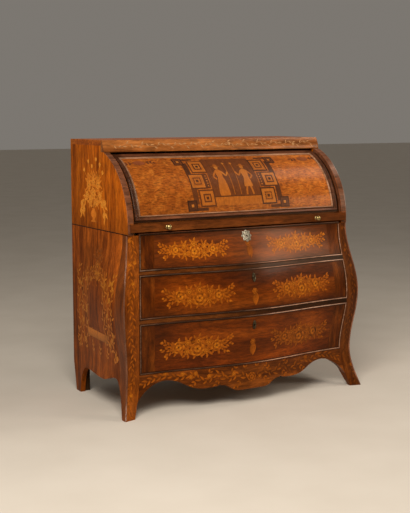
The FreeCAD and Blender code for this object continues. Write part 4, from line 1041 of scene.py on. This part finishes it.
for middle, robe, lean in ((GOWN_MIDDLE, GOWN, 1), (COAT_MIDDLE, COAT, -1)):
    foot = Vector((middle, FIGURE_FOOT))
    head, near_arm, far_arm, staff, staff_top = (
        [foot + Vector((x * lean, up)) * FIGURE_TALL for x, up in points] for points in FIGURE_LINES)
    garment(robe, foot, 0.6, 6)
    button(picture, head[0], FACE_ROUND, 0.68, 7)
    garment(HAT, foot, 0.5, 8)
    ribbon(picture, curve(near_arm, 12), SLEEVE, 0.64, 7)
    ribbon(picture, curve(far_arm, 12), SLEEVE, 0.56, 7)
    ribbon(picture, curve(staff, 14), STAFF_WIDE, 0.5, 6)
    button(picture, staff_top[0], STAFF_KNOB, 0.66, 7)
for step in (-0.45, 0.35):
    leg = curve([(COAT_MIDDLE + step * out, up) for out, up in LEG], 8)
    ribbon(picture, leg, LEG_WIDE, 0.58, 5)
picture.laid("cylinder_picture", rounded(SHELL_RADIUS), flat_veneers, "cylinder")
CARTOUCHE = Vector((0.405, 0.302))
CARTOUCHE_HALVES = (0.028, 0.015)
SPRIG_OUT = 0.024
rosy_veneers = marquetry("rosy_veneers", 0.5, (0.0, (0.05, 0.013, 0.004)), (0.5, (0.21, 0.052, 0.015)),
                         (1.0, (0.4, 0.12, 0.03)))
cartouches = Inlay(43)
wide, tall = CARTOUCHE_HALVES
for sign in (-1, 1):
    spot = Vector((sign * CARTOUCHE.x, CARTOUCHE.y))
    ways = [turned_way(math.pi * (j / 10 - 0.5)) for j in range(11)]
    cartouches.strip([[spot + Vector((wide * way.x * k / 3, tall * way.y)) for k in range(-3, 4)]
                      for way in ways], 0.55, 1)
    for end, way in ((-1, math.pi), (1, 0.0)):
        sprig(cartouches, spot + Vector((end * SPRIG_OUT, 0.0)), way, length=0.05, width=0.011, tone=0.2)
cartouches.laid("cylinder_cartouches", rounded(SHELL_RADIUS), rosy_veneers, "cylinder")
FRAME_LEVELS = (0.0252, 0.3935)
FRAME_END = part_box("cylinder_shell")[1][0]
FOOT_SPREAD, HEAD_SPREAD, END_SPREAD = 1.13, 2.28, 1.55


def frame_spot(x, z, inset):
    """Places on the shell's frame: -1 to 1 each way, with rails and stiles of their own widths."""
    foot, head = FRAME_LEVELS[0] + inset * FOOT_SPREAD, FRAME_LEVELS[1] - inset * HEAD_SPREAD
    return x * (FRAME_END - inset * END_SPREAD), foot + (head - foot) * (z + 1.0) / 2


QUIRK = ((0.0, 0.0002), (0.0002, 0.0012), (0.0075, 0.0012), (0.0078, 0.0004))
WIDE_MOULD = ((0.0074, 0.0004), (0.0076, 0.0046), (0.0082, 0.0055), (0.0095, 0.006), (0.0112, 0.0056),
              (0.0124, 0.0044), (0.0134, 0.0032), (0.0148, 0.0026), (0.0164, 0.0026), (0.0178, 0.0032),
              (0.0185, 0.0038), (0.0188, 0.0008))
FINE_BEAD = bead_section(0.0189, 0.0056, 0.0004, 0.0042)
# The frame is darkened at both ends as painted shade, where its stiles lie in the edge bands' shadow.
frame_wood = timber("frame_wood", (0.07, 0.022, 0.009), (0.125, 0.041, 0.017), (0.2, 0.07, 0.032),
                    "x", coat=0.12, roughness=0.4, shine=0.08,
                    glow=(("X", ((0.0, 0.45), (0.03, 0.5), (0.05, 1.0), (0.95, 1.0), (0.97, 0.6),
                                 (1.0, 0.6))),))
# The quirk is a real sunk fillet; its near-black wood paints the shadow in it.
quirk_shadow_wood = timber("quirk_shadow_wood", (0.012, 0.004, 0.002), (0.025, 0.008, 0.003), (0.045, 0.015, 0.006), "x")
# The fine bead is a paler, glossier wood as its painted highlight, darkened at the left end as painted shade.
bead_highlight_wood = timber("bead_highlight_wood", (0.23, 0.11, 0.058), (0.37, 0.185, 0.1), (0.5, 0.27, 0.16),
                    "x", figure=30.0, coat=0.15, roughness=0.4, shine=0.08,
                    glow=(("X", ((0.0, 0.6), (0.02, 0.65), (0.04, 1.0))),))
shell = rounded(SHELL_RADIUS)
covered("cylinder_moulding", frame_wood, "dark_moulding")
wide_mould = moulded("cylinder_frame", shell, frame_spot, WIDE_MOULD, frame_wood, "cylinder")
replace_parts(wide_mould, "cylinder_moulding")
moulded("cylinder_quirk", shell, frame_spot, QUIRK, quirk_shadow_wood, "cylinder")
moulded("cylinder_fine_bead", shell, frame_spot, FINE_BEAD, bead_highlight_wood, "cylinder")
for hand in ("left", "right"):
    covered(f"cylinder_quadrant_{hand}", bare_oak, "oak")
for node in ("cylinder_cranks", "cylinder_pivots"):
    covered(node, iron_metal, "iron")


# Fascia and top: a hollow walnut fascia over the cylinder's slot, inlaid with a running
# border, and the veneered top board with its stringing, both glued down on the sides.
BORDER_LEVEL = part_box("top_board")[0][2]
BORDER_END = 0.5
BORDER_STEP = 0.04
BORDER_SWAY = 0.007
fascia_veneer = timber("fascia_veneer", (0.17, 0.046, 0.008), (0.31, 0.095, 0.019), (0.47, 0.165, 0.04),
                       "x", coat=0.12, roughness=0.32)
border_veneers = marquetry("border_veneers", 0.6, (0.0, (0.22, 0.075, 0.02)), (1.0, (0.66, 0.34, 0.14)))
top_veneer = timber("top_veneer", (0.22, 0.042, 0.003), (0.4, 0.09, 0.006), (0.6, 0.16, 0.012),
                    "x", figure=10.0)
covered("fascia", fascia_veneer, "walnut")
border = Inlay(31)
points = [(BORDER_STEP * k - BORDER_END, BORDER_LEVEL + BORDER_SWAY * (-1) ** k) for k in range(26)]
stem = curve(points, 260)
vine(border, stem, spacing=0.017, length=0.018, width=0.0046, tone=0.5, blooms=0.08)
border.laid("fascia_border", Face("fascia", "y", -1), border_veneers, "case")
covered("top_board", top_veneer, "walnut")
stringing = Inlay(59)
low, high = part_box("top_board")
bordered(stringing, low, high, inset=0.03, wide=0.0024, tone=0.85)
bordered(stringing, low, high, inset=0.0335, wide=0.0024, tone=0.05)
stringing.laid("top_stringing", flat(high[2]), cut_veneers, "case")


# Studio: a pale sweep of floor, one large soft light from the front left, a fill, a small
# light for the sheen on top and the viewpoint of the photograph.
FLOOR_HALF = 30
floor_mesh = bpy.data.meshes.new("studio_floor")
floor_mesh.from_pydata([(-FLOOR_HALF, -FLOOR_HALF, 0), (FLOOR_HALF, -FLOOR_HALF, 0),
                        (FLOOR_HALF, FLOOR_HALF, 0), (-FLOOR_HALF, FLOOR_HALF, 0)], [], [(0, 1, 2, 3)])
floor = bpy.data.objects.new("studio_floor", floor_mesh)
bpy.context.scene.collection.objects.link(floor)
paper = Finish("floor_paper", 0.7)
paper_colour = paper.ramp(paper.noise((3.0, 3.0, 3.0)), (0.3, (0.6, 0.55, 0.48)), (0.7, (0.64, 0.59, 0.52)))
floor_mesh.materials.append(paper.done(paper_colour))
floor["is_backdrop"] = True
world = bpy.data.worlds.new("studio")
bpy.context.scene.world = world
world.use_nodes = True
daylight = world.node_tree.nodes["Background"]
daylight.inputs["Color"].default_value = (1.0, 0.92, 0.82, 1.0)
daylight.inputs["Strength"].default_value = 0.2


def soft_light(name, place, aim, width, height, power, colour):
    """An oblong lamp on a stand, turned to what it lights."""
    lamp = bpy.data.lights.new(name, "AREA")
    lamp.shape = "RECTANGLE"
    lamp.size = width
    lamp.size_y = height
    lamp.energy = power
    lamp.color = colour
    stand = bpy.data.objects.new(name, lamp)
    stand.location = place
    stand.rotation_euler = (Vector(aim) - Vector(place)).to_track_quat("-Z", "Y").to_euler()
    bpy.context.scene.collection.objects.link(stand)


soft_light("key", (-1.95, -2.4, 2.85), (0, 0, 0.6), 1.9, 1.9, 150, (1.0, 0.93, 0.84))
soft_light("fill", (2.25, -2.25, 1.65), (0, 0, 0.6), 0.8, 1.0, 26, (1.0, 0.9, 0.78))
soft_light("sheen", (2.2, -0.6, 3.2), (0.2, -0.1, 0.9), 0.9, 0.9, 22, (1.0, 0.92, 0.82))
VIEW_PITCH, VIEW_TURN = 7.465, 30.786
lens = bpy.data.cameras.new("viewpoint")
lens.sensor_width = 36.0
lens.lens = 77.10
viewpoint = bpy.data.objects.new("viewpoint", lens)
viewpoint.location = (-2.4542, -4.0275, 1.2008)
viewpoint.rotation_euler = (math.radians(90 - VIEW_PITCH), 0.0, math.radians(-VIEW_TURN))
bpy.context.scene.collection.objects.link(viewpoint)
bpy.context.scene.camera = viewpoint
bpy.context.scene.view_settings.view_transform = "Standard"

low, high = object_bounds()
